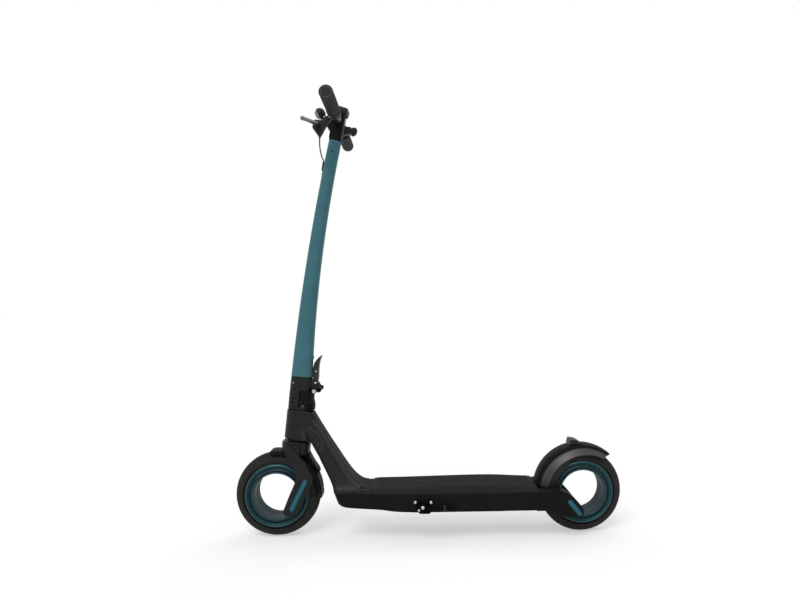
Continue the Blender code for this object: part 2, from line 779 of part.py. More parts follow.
def port():
    """The charging socket in the right wall of the tray, with a hinged rubber cap over it."""
    wall = DECK_HALF
    frame = wheel_frame(PORT_X, 0, PORT_Z)
    tray = bpy.data.objects["deck_tray"]
    cut(tray, rod("port_hole", frame, wall - 0.02, wall + 0.01, PORT_R + SEAT, "steel"))
    inner_r = PORT_R - 0.0022
    cup = [
        (wall - PORT_DEPTH - 0.0010, PORT_R),
        (wall, PORT_R),
        (wall, inner_r),
        (wall - PORT_DEPTH, inner_r),
    ]
    turned("charge_port", frame, cup, "black_plastic", SMALL_ROUND, closed=False)
    cap_low = wall + 0.0004
    flat = box_loop(0.0125, 0.0110, 0.004, 3, (PORT_X, PORT_Z))
    cap = [[Vector((x, y, z)) for x, z in flat] for y in (cap_low, cap_low + 0.0028)]
    loft("charge_cap", cap, "rubber")


def rear_arms():
    """Two wide arms that plug into the tray's tail and hold the rear wheel's sleeve."""
    axle = (REAR_X, TYRE_R)
    top = DECK_TOP - ARM_DROP
    low = DECK_TOP - DECK_DEPTH
    front = FRONT_X + DECK_END + SEAT
    edge = [
        (-0.0495, 0.0095),
        (-0.0340, -0.0010),
        (-0.0235, -0.0123),
        (-0.0122, -0.0247),
        (-0.0074, -0.0364),
        (-0.0077, -0.0441),
        (-0.0156, -0.0514),
        (-0.0288, -0.0529),
        (-0.0524, -0.0507),
        (-0.0759, -0.0439),
    ]
    outline = [(front, top), (REAR_X - 0.0530, top)]
    outline += [(axle[0] + x, axle[1] + z) for x, z in edge]
    outline += [(REAR_X - 0.0980, low), (front, low)]
    for side in ("left", "right"):
        inner, outer = spread(side, LEG_INNER, ARM_OUTER)
        arm = plate(f"rear_arm_{side}", outline, inner, outer, "black_paint")
        inner, outer = spread(side, LEG_INNER, LEG_INNER + TONGUE)
        tongue = plate(f"arm_tongue_{side}", tongue_outline(0.006, 0.0), inner, outer, "black_paint")
        middle = (REAR_X - 0.0307, TYRE_R - 0.0279)
        pad = stripe(f"arm_pad_{side}", middle, -50.6, (0.0500, 0.0105), side, ARM_OUTER)
        fuse(arm, tongue, pad)


def rear_guard():
    """The rear fender, and the tail lamp that stands on it."""
    axle = (REAR_X, TYRE_R)
    sweep = (REAR_FENDER_START, REAR_FENDER_END)
    fender("rear_fender", axle, rear_fender_section(), FENDER_SKIN, sweep, 20)
    foot_r = REAR_FENDER_R + SEAT
    crest = TYRE_R + REAR_FENDER_R
    body = arc(axle, foot_r, 104.6, 94.8, 4)
    body += [(REAR_X - 0.0095, crest + 0.0090), (REAR_X - 0.0275, crest + 0.0115)]
    plate("tail_lamp", body, -0.0210, 0.0210, "black_plastic")
    glass = arc(axle, foot_r, 94.5, 88.0, 3)
    glass += [(REAR_X + 0.0015, crest + 0.0025), (REAR_X - 0.0090, crest + 0.0087)]
    plate("tail_lens", glass, -0.0185, 0.0185, "red_lens")


def kickstand():
    """The stand on the left: a bracket on the tray's wall and a leg that lies back along it."""
    wall = -DECK_HALF - SEAT
    outline = [(-0.020, 0.021), (0.032, 0.021), (0.036, 0.013), (0.032, -0.007), (0.016, -0.0125)]
    outline += [(-0.006, -0.0125), (-0.018, -0.001)]
    points = [(STAND_PIVOT.x + x, STAND_PIVOT.z + z) for x, z in outline]
    bracket = plate("kickstand_bracket", points, wall - 0.0045, wall, "black_metal")
    frame = STAND_FRAME
    boss = rod("stand_boss", frame, 0.0005, STAND_BOSS, STAND_BOSS_R, "steel")
    fuse(bracket, boss)
    leg_low = STAND_BOSS - 0.0095
    ring = rod("kickstand_leg", frame, leg_low, leg_low + 0.0085, 0.0115, "black_metal")
    reach = Matrix.Rotation(math.pi / 2, 4, "Y")
    along = frame @ Matrix.Translation((0, 0, leg_low + 0.00425)) @ reach
    shape = [(0.004, 0.0042), (STAND_LENGTH - 0.022, 0.0038)]
    shape += [(STAND_LENGTH - 0.019, 0.0060), (STAND_LENGTH, 0.0055)]
    shank = turned("stand_shank", along, shape, "black_metal", SMALL_ROUND, closed=False)
    fuse(ring, shank)
    bore_r = STAND_BOSS_R + SEAT
    cut(ring, rod("stand_bore", frame, leg_low - 0.01, leg_low + 0.02, bore_r, "steel"))


def fold_joint():
    """The hinge block on the steerer, the collar under the stem, their pin, lever and lock knob."""
    block_loops = []
    for height in (BLOCK_LOW, PARTING - SWING / 2):
        block_loops.append(column_loop(-BLOCK_FRONT, BLOCK_REAR, BLOCK_HALF, 0.020, height, 6))
    block = loft("hinge_block", block_loops, "black_paint")
    pin_frame = wheel_frame(PIN.x, 0, PIN.z)
    root = column_point(PIN_BACK - KNUCKLE_R - 0.004, PARTING - 0.012)
    ears = []
    for side in ("left", "right"):
        low, high = spread(side, KNUCKLE_HALF + SWING, EAR_HALF)
        ears.append(lug(f"hinge_ear_{side}", PIN, KNUCKLE_R, root, low, high))
    fuse(block, *ears)
    bore = rod("block_bore", STEER, BLOCK_LOW - 0.01, BLOCK_LOW + 0.028, STEERER_R + SEAT, "steel")
    room = KNUCKLE_HALF + SWING
    well = rod("knuckle_well", pin_frame, -room, room, KNUCKLE_R + SWING, "steel", 28)
    pin_hole = rod("block_pin_hole", pin_frame, -0.04, 0.04, PIN_R + SEAT, "steel")
    cut(block, bore, well, pin_hole)
    pin_ends = EAR_HALF + 0.0022
    profile = [(-pin_ends, 0.0050), (-EAR_HALF - SEAT, 0.0050), (-EAR_HALF - SEAT, PIN_R)]
    profile += [(-y, r) for y, r in reversed(profile)]
    turned("hinge_pin", pin_frame, profile, "steel", SMALL_ROUND, closed=False)
    stem_half = stem_size(STEM_FOOT.z)
    low_edge = STEM_BACK - stem_half[0]
    high_edge = STEM_BACK + stem_half[0]
    width = BLOCK_HALF - 0.0010
    foot = column_loop(-BLOCK_FRONT, BLOCK_REAR - 0.0045, width, 0.020, COLLAR_LOW, 6)
    top = column_loop(low_edge, high_edge, stem_half[1], 0.020, COLLAR_TOP, 6)
    collar = loft("stem_collar", [foot, top], "black_paint")
    inner_root = column_point(PIN_BACK - 0.014, PARTING + 0.014)
    knuckle = lug("collar_knuckle", PIN, KNUCKLE_R, inner_root, -KNUCKLE_HALF, KNUCKLE_HALF)
    fuse(collar, knuckle)
    for side in ("left", "right"):
        low, high = spread(side, LEVER_HALF + SWING, LEVER_HALF + SWING + LEVER_EAR)
        cheek_root = column_point(LEVER_BACK - 0.0130, PARTING + LEVER_UP)
        cheek = lug(f"lever_cheek_{side}", LEVER_PIVOT, 0.0042, cheek_root, low, high, KNOB)
        fuse(collar, cheek)
    wells = []
    for side in ("left", "right"):
        low, high = spread(side, KNUCKLE_HALF, EAR_HALF + 0.006)
        wells.append(rod(f"ear_well_{side}", pin_frame, low, high, KNUCKLE_R + SWING, "steel", 28))
    knuckle_hole = rod("collar_pin_hole", pin_frame, -0.04, 0.04, PIN_R + SEAT, "steel")
    lever_frame = wheel_frame(LEVER_PIVOT.x, 0, LEVER_PIVOT.z)
    knob_frame = wheel_frame(KNOB.x, 0, KNOB.z)
    reach = LEVER_HALF + SWING + LEVER_EAR + 0.004
    lever_hole = rod("lever_hole", lever_frame, -reach, reach, STUB_R + SEAT, "steel", 12)
    knob_hole = rod("knob_hole", knob_frame, -reach, reach, STUB_R + SEAT, "steel", 12)
    cut(collar, *wells, knuckle_hole, lever_hole, knob_hole)
    fold_lever(lever_frame, reach)
    half = LEVER_HALF
    profile = [(-reach, STUB_R), (-half, STUB_R), (-half, KNOB_R)]
    profile += [(-y, r) for y, r in reversed(profile)]
    turned("lock_knob", knob_frame, profile, "dark_steel", SMALL_ROUND, closed=False)


def lug(name, centre, radius, root, low, high, second=None):
    """A plate round one or two pivots, run back into the body that carries it at its root."""
    middle = (centre.x, centre.z)
    back = Vector((root[0] - middle[0], root[1] - middle[1]))
    facing = math.degrees(math.atan2(-back.y, -back.x))
    if second is None:
        outline = arc(middle, radius, facing - 90, facing + 90, 12)
        outline += [root]
        return plate(name, outline, low, high, "black_paint")
    lower = (second.x, second.z)
    outline = arc(lower, radius * 0.85, -110, 20, 6) + arc(middle, radius, 20, 110, 5)
    outline += [root, (root[0], lower[1])]
    return plate(name, outline, low, high, "black_paint")


def fold_lever(frame, reach):
    """The release lever: it pivots between the collar's cheeks and stands up behind the stem."""
    x = LEVER_PIVOT.x
    z = LEVER_PIVOT.z
    barrel = arc((x, z), LEVER_BARREL_R, 175, 365, 9)
    blade = [
        (0.0060, 0.0100),
        (0.0060, 0.0290),
        (0.0068, 0.0460),
        (0.0096, 0.0590),
        (0.0152, 0.0700),
        (0.0140, 0.0712),
        (0.0040, 0.0605),
        (-0.0028, 0.0465),
        (-0.0045, 0.0300),
        (-0.0047, 0.0120),
    ]
    outline = barrel + [(x + dx, z + dz) for dx, dz in blade]
    lever = plate("fold_lever", outline, -LEVER_HALF, LEVER_HALF, "black_metal")
    fuse(lever, rod("lever_stub", frame, -reach, reach, STUB_R, "steel", 12))


def stem():
    """The stem tube with the cable gland on its front."""
    steps = 11
    outer = []
    inner = []
    for i in range(steps + 1):
        z = mix(STEM_FOOT.z, STEM_TOP_Z, i / steps)
        x = stem_x(z)
        depth, width = stem_size(z)
        slope = stem_slope(z)
        if i == 0:
            slope = math.tan(math.radians(STEER_TILT))
        for loops, wall in ((outer, 0.0), (inner, STEM_WALL)):
            flat = oval_loop(depth - wall, width - wall)
            loops.append([Vector((x + u, v, z - u * slope)) for u, v in flat])
    loft("stem_tube", outer + list(reversed(inner)), "teal_paint", closed=True)
    gland()


def gland():
    """A small boss on the stem's front, where the brake cable goes in."""
    loops = []
    slices = ((-0.0120, 0.30), (-0.0070, 0.75), (0.0, 0.90), (0.0105, 1.0), (GLAND_TOP, 0.85))
    for rise, share in slices:
        z = GLAND_Z + rise
        front = stem_front(z) - SEAT
        proud = GLAND_PROUD * share
        half = 0.0045 + 0.0015 * share
        flat = [(0, -half), (0, half), (-0.7 * proud, 0.8 * half), (-proud, 0.4 * half)]
        flat += [(-proud, -0.4 * half), (-0.7 * proud, -0.8 * half)]
        loops.append([Vector((front + u, v, z)) for u, v in flat])
    loft("cable_gland", loops, "black_plastic")


def bar_point(dx, dz):
    """An (x, z) place given from the handlebar's axis."""
    return (BAR_X + dx, BAR_HEIGHT + dz)


def handlebar():
    """The stem head, the bar with its two grips, and the display with its button."""
    foot = STEM_TOP_Z + SEAT
    depth = stem_size(STEM_TOP_Z)[0] - 0.0010
    foot_x = stem_x(STEM_TOP_Z)
    rise = depth * stem_slope(STEM_TOP_Z)
    outline = [(foot_x - depth, foot + rise), (foot_x + depth, foot - rise)]
    outline += [bar_point(*p) for p in ((0.0125, -0.0230), (0.0150, -0.0080), (0.0175, 0.0080))]
    for u in (0.0090, -0.0110):
        seat = DISPLAY_FRAME @ Vector((u, 0, DISPLAY_LOW - SEAT))
        outline.append((seat.x, seat.z))
    outline += [bar_point(*p) for p in ((-0.0120, 0.0155), (-0.0290, 0.0120), (-0.0315, 0.0))]
    outline += [bar_point(*p) for p in ((-0.0290, -0.0130), (-0.0185, -0.0230))]
    head = plate("stem_head", outline, -CLAMP_HALF + 0.003, CLAMP_HALF - 0.003, "black_plastic")
    frame = wheel_frame(BAR_X, 0, BAR_HEIGHT)
    cut(head, rod("bar_bore", frame, -0.05, 0.05, BAR_R + SEAT, "steel"))
    bar_half = BAR_LENGTH / 2 - 0.0025
    pipe = [
        (-bar_half, BAR_R - BAR_WALL),
        (bar_half, BAR_R - BAR_WALL),
        (bar_half, BAR_R),
        (-bar_half, BAR_R),
    ]
    turned("handlebar", frame, pipe, "black_metal", SMALL_ROUND)
    for side in ("left", "right"):
        sign = side_sign(side)
        end = sign * BAR_LENGTH / 2
        inner = end - sign * GRIP_LENGTH
        bore = BAR_R + SEAT
        profile = [
            (end - sign * 0.0022, bore),
            (inner, bore),
            (inner, GRIP_R + 0.0012),
            (inner + sign * 0.0040, GRIP_R + 0.0012),
            (inner + sign * 0.0060, GRIP_R - 0.0008),
            (end - sign * 0.0025, GRIP_R),
            (end, GRIP_R - 0.0025),
        ]
        turned(f"grip_{side}", frame, profile, "rubber", SMALL_ROUND + 4, closed=False)
    display()
    headlamp()


def display():
    """The display unit on top of the stem head, and the power button in its face."""
    frame = DISPLAY_FRAME
    half = (0.0135, 0.0215)
    low = DISPLAY_LOW
    top = DISPLAY_TOP
    loops = []
    for z, shrink in ((low, 0.0015), (low + 0.003, 0.0), (top - 0.002, 0.0), (top, 0.0018)):
        flat = box_loop(half[0] - shrink, half[1] - shrink, 0.005, 3)
        loops.append([frame @ Vector((u, v, z)) for u, v in flat])
    unit = loft("display", loops, "black_plastic")
    button_frame = frame @ Matrix.Translation((0.0062, 0, 0))
    floor = top - BUTTON_SINK
    well = rod("button_well", button_frame, floor, top + 0.01, BUTTON_R + SEAT, "steel", 16)
    cut(unit, well)
    low = floor + BUTTON_TRAVEL + SEAT
    rod("power_button", button_frame, low, top + 0.0012, BUTTON_R, "black_plastic", 16)


def headlamp():
    """The round headlamp in front of the stem head, with its lens."""
    middle = Vector((BAR_X - 0.0481, 0, BAR_HEIGHT + 0.0220))
    dip = math.radians(LAMP_DIP)
    frame = axis_frame(middle, (-math.cos(dip), 0, -math.sin(dip)))
    r = LAMP_R
    shell = ball_profile(r, (-72, -48, -22, 4, 25)) + [(0.42 * r, 0.82 * r), (0.20 * r, 0.80 * r)]
    body = turned("headlamp", frame, shell, "black_plastic", SMALL_ROUND + 4, closed=False)
    places = ((-0.0308, 0.0050), (-0.0293, 0.0125), (-0.0400, 0.0230), (-0.0430, 0.0120))
    arm = [bar_point(*p) for p in places]
    fuse(body, plate("lamp_arm", arm, -0.0060, 0.0060, "black_plastic"))
    rings = ((0.45, 0.79), (0.66, 0.62), (0.78, 0.36), (0.82, 0.06))
    lens = [(0.20 * r + SEAT, 0.78 * r)] + [(height * r, radius * r) for height, radius in rings]
    turned("headlamp_lens", frame, lens, "clear_lens", SMALL_ROUND + 4, closed=False)


def ball_profile(radius, degrees):
    """(height, radius) points of a ball at the given latitudes."""
    angles = [math.radians(d) for d in degrees]
    return [(radius * math.sin(a), radius * math.cos(a)) for a in angles]


def brake():
    """The brake lever's housing on the left of the bar, the lever, and its cable to the stem."""
    frame = wheel_frame(BAR_X, 0, BAR_HEIGHT)
    low = BRAKE_Y - BRAKE_HALF
    high = BRAKE_Y + BRAKE_HALF
    shape = [(-0.0040, -0.0140), (-0.0210, -0.0360), (-0.0330, -0.0590)]
    shape += [(-0.0390, -0.0590), (-0.0530, -0.0400), (-0.0510, -0.0250)]
    shape += [(-0.0430, -0.0205), (-0.0300, -0.0205), (-0.0130, -0.0080)]
    outline = [bar_point(*p) for p in shape]
    housing = plate("brake_housing", outline, low, high, "black_plastic")
    fuse(housing, rod("brake_clamp", frame, low, high, 0.0160, "black_plastic", 24))
    pivot_y = low - BRAKE_BARREL_R
    pivot = Vector((BAR_X + BRAKE_PIVOT[0], pivot_y, BAR_HEIGHT + BRAKE_PIVOT[1]))
    reach = BRAKE_BARREL_HALF + SWING
    cheeks = lever_block("brake_cheeks", pivot, reach + BRAKE_CHEEK, 0.0066, (-0.0062, 0.0085))
    slot = lever_block("brake_slot", pivot, reach, 0.0300, (-0.0200, BRAKE_BARREL_R + SWING))
    fuse(housing, cheeks)
    pivot_frame = axis_frame(pivot, BRAKE_AXIS)
    pin_half = reach + BRAKE_CHEEK - 0.0002
    pin_hole = rod("brake_pin_hole", pivot_frame, -0.02, 0.02, BRAKE_PIN_R + SEAT, "steel", 14)
    bar_bore = rod("brake_bar_bore", frame, low - 0.01, high + 0.01, BAR_R + SEAT, "steel")
    cut(housing, slot, pin_hole, bar_bore)
    tip = Vector((BAR_X - 0.0590, -0.1810, BAR_HEIGHT - 0.0480))
    half = BRAKE_BARREL_HALF
    lever = rod("brake_lever", pivot_frame, -half, half, BRAKE_BARREL_R, "black_metal")
    fuse(lever, rod("brake_pin", pivot_frame, -pin_half, pin_half, BRAKE_PIN_R, "steel", 14))
    steps = 6
    loops = []
    for i in range(steps + 1):
        share = i / steps
        place = pivot.lerp(tip, share) + BRAKE_PULL * (0.003 * math.sin(math.pi * share))
        wide = mix(0.0042, 0.0028, share)
        thick = mix(0.0036, 0.0024, share)
        flat = box_loop(wide, thick, 0.0018, 2)
        loops.append([place + BRAKE_PULL * u + BRAKE_AXIS * v for u, v in flat])
    fuse(lever, loft("brake_blade", loops, "black_metal"))
    profile = ball_profile(0.0052, (-70, -45, -15, 15, 45, 70))
    ball_frame = axis_frame(tip, (0, -1, 0))
    fuse(lever, turned("lever_ball", ball_frame, profile, "black_metal", 16, closed=False))
    brake_cable()


def lever_block(name, pivot, along_axis, along_pull, along_y):
    """A block round the brake lever's pivot, square to the lever's axis."""
    loops = []
    for y in along_y:
        flat = box_loop(along_pull, along_axis, 0.0015, 2)
        loops.append([pivot + Vector((0, y, 0)) + BRAKE_PULL * u + BRAKE_AXIS * v for u, v in flat])
    return loft(name, loops, "black_plastic")


def brake_cable():
    """The cable's real route, from the lever's housing in a loop to the gland on the stem."""
    top = GLAND_Z + GLAND_TOP
    x = stem_front(top) - SEAT - 0.45 * GLAND_PROUD
    start = Vector((BAR_X - 0.0360, BRAKE_Y, BAR_HEIGHT - 0.0595))
    end = Vector((x, 0.0, top + SEAT + 0.0001))
    route = [
        start,
        start + Vector((-0.0001, 0.0002, -0.0060)),
        start + Vector((-0.0003, 0.0015, -0.0134)),
        start + Vector((-0.0009, 0.0080, -0.0228)),
        end + Vector((0.0001, -0.0540, 0.0144)),
        end + Vector((-0.0011, -0.0320, 0.0093)),
        end + Vector((-0.0016, -0.0120, 0.0070)),
        end + Vector((-0.0003, -0.0020, 0.0050)),
    ]
    points = smooth_line(route, 4)
    points += [end + Vector((0.0, 0.0, 0.0020)), end]
    line = bpy.data.curves.new("brake_cable", "CURVE")
    line.dimensions = "3D"
    line.bevel_depth = CABLE_R
    line.bevel_resolution = 2
    line.use_fill_caps = True
    spline = line.splines.new("POLY")
    spline.points.add(len(points) - 1)
    for slot, point in zip(spline.points, points):
        slot.co = (*point, 1.0)
    line.materials.append(finish("rubber"))
    bpy.context.scene.collection.objects.link(bpy.data.objects.new("brake_cable", line))


def smooth_line(route, steps):
    """Points on a smooth curve through the route's own points."""
    points = []
    for i in range(len(route) - 1):
        a = route[max(i - 1, 0)]
        b = route[i]
        c = route[i + 1]
        d = route[min(i + 2, len(route) - 1)]
        for k in range(steps):
            t = k / steps
            square = (2 * a - 5 * b + 4 * c - d) * t * t
            cube = (3 * b - a - 3 * c + d) * t * t * t
            points.append(0.5 * (2 * b + (c - a) * t + square + cube))
    points.append(route[-1])
    return points


def throttle():
    """The thumb throttle on the right of the bar: a housing round the bar and its paddle."""
    frame = wheel_frame(BAR_X, 0, BAR_HEIGHT)
    low = THROTTLE_Y - THROTTLE_HALF
    high = THROTTLE_Y + THROTTLE_HALF
    housing = rod("throttle_housing", frame, low, high, 0.0160, "black_plastic", 24)
    shape = [(0.0, 0.0110), (0.0250, 0.0080), (0.0285, 0.0040)]
    shape += [(0.0285, -0.0060), (0.0235, -0.0105), (0.0, -0.0130)]
    back = [bar_point(*p) for p in shape]
    fuse(housing, plate("throttle_body", back, low, high, "black_plastic"))
    bore = rod("throttle_bore", frame, low - 0.01, high + 0.01, BAR_R + SEAT, "steel")
    x, z = bar_point(*THUMB)
    thumb_frame = wheel_frame(x, 0, z)
    y_low = high + SEAT
    pin_low = high - 0.0090
    socket_r = THUMB_PIN_R + SEAT
    socket = rod("thumb_socket", thumb_frame, pin_low - SEAT, high + 0.005, socket_r, "steel", 14)
    cut(housing, bore, socket)
    outline = arc((x, z), 0.0070, 80, 250, 8)
    outline += [bar_point(*p) for p in ((0.0290, -0.0110), (0.0360, -0.0080), (0.0405, 0.0000))]
    outline += [bar_point(*p) for p in ((0.0405, 0.0090), (0.0330, 0.0125))]
    paddle = plate("throttle_paddle", outline, y_low, y_low + 0.0120, "black_plastic")
    fuse(paddle, rod("thumb_pin", thumb_frame, pin_low, y_low + 0.004, THUMB_PIN_R, "steel", 14))


def scooter():
    """Every sub-part of the scooter."""
    wheel("front", FRONT_X, ("front_stator", STATOR_HALF, "copper"))
    wheel("rear", REAR_X, ("rear_brake_band", BAND_HALF, "dark_steel"))
    fork()
    head_tube()
    neck()
    deck()
    rear_arms()
    rear_guard()
    kickstand()
    fold_joint()
    stem()
    handlebar()
    brake()
    throttle()


for leftover in list(bpy.data.objects):
    bpy.data.objects.remove(leftover, do_unlink=True)
scooter()
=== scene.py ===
"""Studio scene of a folding electric scooter with open-centre wheels.

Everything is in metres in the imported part's own frame: +Z up, the front of the scooter towards -X,
its left side towards -Y. The refined pieces below stand for the CAD nodes that they name.
"""

import math

import bmesh
import bpy
from mathutils import Matrix, Vector


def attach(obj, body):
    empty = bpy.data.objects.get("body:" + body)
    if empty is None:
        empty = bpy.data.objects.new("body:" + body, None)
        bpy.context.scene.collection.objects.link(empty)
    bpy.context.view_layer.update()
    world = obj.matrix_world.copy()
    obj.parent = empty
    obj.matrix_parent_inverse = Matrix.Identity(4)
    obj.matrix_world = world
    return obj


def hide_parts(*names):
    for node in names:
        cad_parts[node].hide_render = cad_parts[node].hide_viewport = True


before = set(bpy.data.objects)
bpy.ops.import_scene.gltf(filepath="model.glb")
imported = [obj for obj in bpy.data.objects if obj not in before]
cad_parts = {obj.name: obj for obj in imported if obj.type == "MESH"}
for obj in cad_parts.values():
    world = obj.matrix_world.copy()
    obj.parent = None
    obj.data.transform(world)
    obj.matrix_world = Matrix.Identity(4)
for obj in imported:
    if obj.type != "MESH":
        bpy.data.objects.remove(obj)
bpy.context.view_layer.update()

# Sizes repeated from the part
WHEELBASE = 0.789
BAR_HEIGHT = 1.0715
BAR_LENGTH = 0.439
DECK_TOP = 0.1268
DECK_HALF = 0.0725
DECK_DEPTH = 0.0533
SEAT = 0.0003
TYRE_R = 0.108
BORE_R = 0.0578
SLEEVE_R = 0.0620
ROTOR_R = 0.0697
RIM_R = 0.0807
FLANGE_R = 0.0837
SLEEVE_HALF = 0.0355
LEG_INNER = 0.0358
LEG_OUTER = 0.0478
ARM_OUTER = 0.0717
FRONT_X = -WHEELBASE / 2
REAR_X = WHEELBASE / 2
STEER_TILT = 5.0
CROWN_TOP = 0.2430
HEAD_TOP = 0.0818
BLOCK_LOW = 0.0834
PARTING = 0.1315
COLLAR_LOW = 0.1318
COLLAR_TOP = 0.1678
PIN_BACK = 0.0332
STEM_BACK = -0.0042
CABLE_R = 0.0016
REAR_FENDER_R = 0.1228
DECK_END = WHEELBASE - 0.12206

STEER_FOOT = Vector((FRONT_X + 0.0487, 0, CROWN_TOP))
STEER = Matrix.Translation(STEER_FOOT) @ Matrix.Rotation(math.radians(STEER_TILT), 4, "Y")


def column(back, across, height):
    """A world point from its place behind the steering axis, across it and along it."""
    return STEER @ Vector((back, across, height))


def mix(a, b, share):
    """The value that lies the given share of the way from a to b."""
    return a + (b - a) * share


PIN = column(PIN_BACK, 0, PARTING + 0.0020)
LEVER_PIVOT = column(0.0335, 0, PARTING + 0.0225)
KNOB = column(0.0450, 0, PARTING + 0.0080)
STEM_FOOT = column(STEM_BACK, 0, COLLAR_TOP + SEAT)
STEM_TOP_Z = BAR_HEIGHT - 0.0465

# The stem's middle line leans back by the first number and bows by the second
STEM_LEAN = 0.0725
STEM_BOW = 0.1107


def stem_x(z):
    """Where the stem's middle line is at a height."""
    rise = z - STEM_FOOT.z
    return STEM_FOOT.x + STEM_LEAN * rise + STEM_BOW * rise * rise


def stem_size(z):
    """The stem's half depth and half width at a height."""
    share = (z - STEM_FOOT.z) / (STEM_TOP_Z - STEM_FOOT.z)
    eased = 1 - (1 - min(share, 1.0)) ** 2.2
    depth = mix(0.0535, 0.0310, 0.80 * eased + 0.20 * share)
    return depth / 2, mix(0.0460, 0.0360, share) / 2


def stem_slope(z):
    """How far the stem's middle line leans back for each metre it rises."""
    return STEM_LEAN + 2 * STEM_BOW * (z - STEM_FOOT.z)


def stem_front(z):
    """Where the stem's front surface is at a height."""
    middle = z - stem_size(z)[0] * stem_slope(z)
    return stem_x(middle) - stem_size(middle)[0]


BAR_X = stem_x(BAR_HEIGHT) - 0.0025
DISPLAY_FRAME = Matrix.Translation((BAR_X + 0.0125, 0, BAR_HEIGHT + 0.0270))
DISPLAY_FRAME = DISPLAY_FRAME @ Matrix.Rotation(math.radians(16.0), 4, "Y")
BRAKE_AXIS = Vector((-0.61, 0, 0.79)).normalized()
BRAKE_PULL = Vector((0.79, 0, 0.61)).normalized()

# The gland that takes the brake cable in: its middle, its half height and how far it stands out
GLAND_MIDDLE = BAR_HEIGHT - 0.1165
GLAND_HALF = 0.0125
GLAND_PROUD = 0.0050

# The charging socket's place on the deck's side, and the height of the groove along it
PORT_X = -0.0195
PORT_Z = 0.1008
GROOVE_Z = (0.0795, 0.0803)

# Radii that several pieces share: three holes, then the hinge's knuckle and its ears
STEERER_HOLE = 0.0153
BAR_HOLE = 0.0114
PIN_HOLE = 0.0033
KNUCKLE_R = 0.0070
EAR_R = 0.0064


# Camera

def camera():
    """The photograph's viewpoint, fitted to the part."""
    data = bpy.data.cameras.new("view")
    data.lens = 26.76
    data.sensor_width = 36.0
    data.shift_x = -0.05245
    data.shift_y = 0.01545
    data.clip_start = 0.02
    obj = bpy.data.objects.new("view", data)
    obj.location = (-0.0398, -1.5633, 0.5761)
    obj.rotation_euler = (math.radians(90), 0, math.radians(-2.526))
    bpy.context.scene.collection.objects.link(obj)
    bpy.context.scene.camera = obj


camera()


# Materials

def node(tree, kind, **settings):
    """A new shader node with its settings."""
    made = tree.nodes.new(kind)
    for key, value in settings.items():
        setattr(made, key, value)
    return made


def math_node(tree, operation, a, b):
    """A Math node on two links or numbers."""
    made = node(tree, "ShaderNodeMath", operation=operation)
    for socket, value in zip(made.inputs, (a, b)):
        if isinstance(value, (int, float)):
            socket.default_value = value
        else:
            tree.links.new(value, socket)
    return made.outputs[0]


def map_range(tree, value, low, high, to_low, to_high):
    """A clamped Map Range on a link."""
    made = node(tree, "ShaderNodeMapRange")
    for i, number in enumerate((low, high, to_low, to_high)):
        made.inputs[i + 1].default_value = number
    tree.links.new(value, made.inputs[0])
    return made.outputs[0]


def mix_colour(tree, share, a, b):
    """A colour between two colours or links."""
    made = node(tree, "ShaderNodeMix", data_type="RGBA")
    for socket, value in ((made.inputs[0], share), (made.inputs[6], a), (made.inputs[7], b)):
        if isinstance(value, tuple):
            socket.default_value = (*value, 1.0)
        elif isinstance(value, (int, float)):
            socket.default_value = value
        else:
            tree.links.new(value, socket)
    return made.outputs[2]


def noise(tree, coords, scale, detail, stretch=None, rough=0.55):
    """A noise pattern in the piece's own metres, drawn out along an axis if stretch says so."""
    if stretch:
        turn = node(tree, "ShaderNodeMapping")
        turn.inputs["Scale"].default_value = stretch
        tree.links.new(coords, turn.inputs["Vector"])
        coords = turn.outputs[0]
    made = node(tree, "ShaderNodeTexNoise")
    made.inputs["Scale"].default_value = scale
    made.inputs["Detail"].default_value = detail
    made.inputs["Roughness"].default_value = rough
    tree.links.new(coords, made.inputs["Vector"])
    return made.outputs[0]


def scaled(colour, by):
    """A colour made lighter or darker."""
    return tuple(min(1.0, c * by) for c in colour)


def rubbed_edges(tree, coords, share):
    """How much of the paint is rubbed off: only along edges, and in patches."""
    edge = node(tree, "ShaderNodeBevel", samples=4)
    edge.inputs["Radius"].default_value = 0.0009
    facing = node(tree, "ShaderNodeVectorMath", operation="DOT_PRODUCT")
    tree.links.new(edge.outputs[0], facing.inputs[0])
    tree.links.new(node(tree, "ShaderNodeNewGeometry").outputs["Normal"], facing.inputs[1])
    rim = map_range(tree, facing.outputs["Value"], 0.995, 0.93, 0.0, 1.0)
    patches = map_range(tree, noise(tree, coords, 150.0, 5.0), 0.44, 0.66, 0.0, share)
    return math_node(tree, "MULTIPLY", rim, patches)


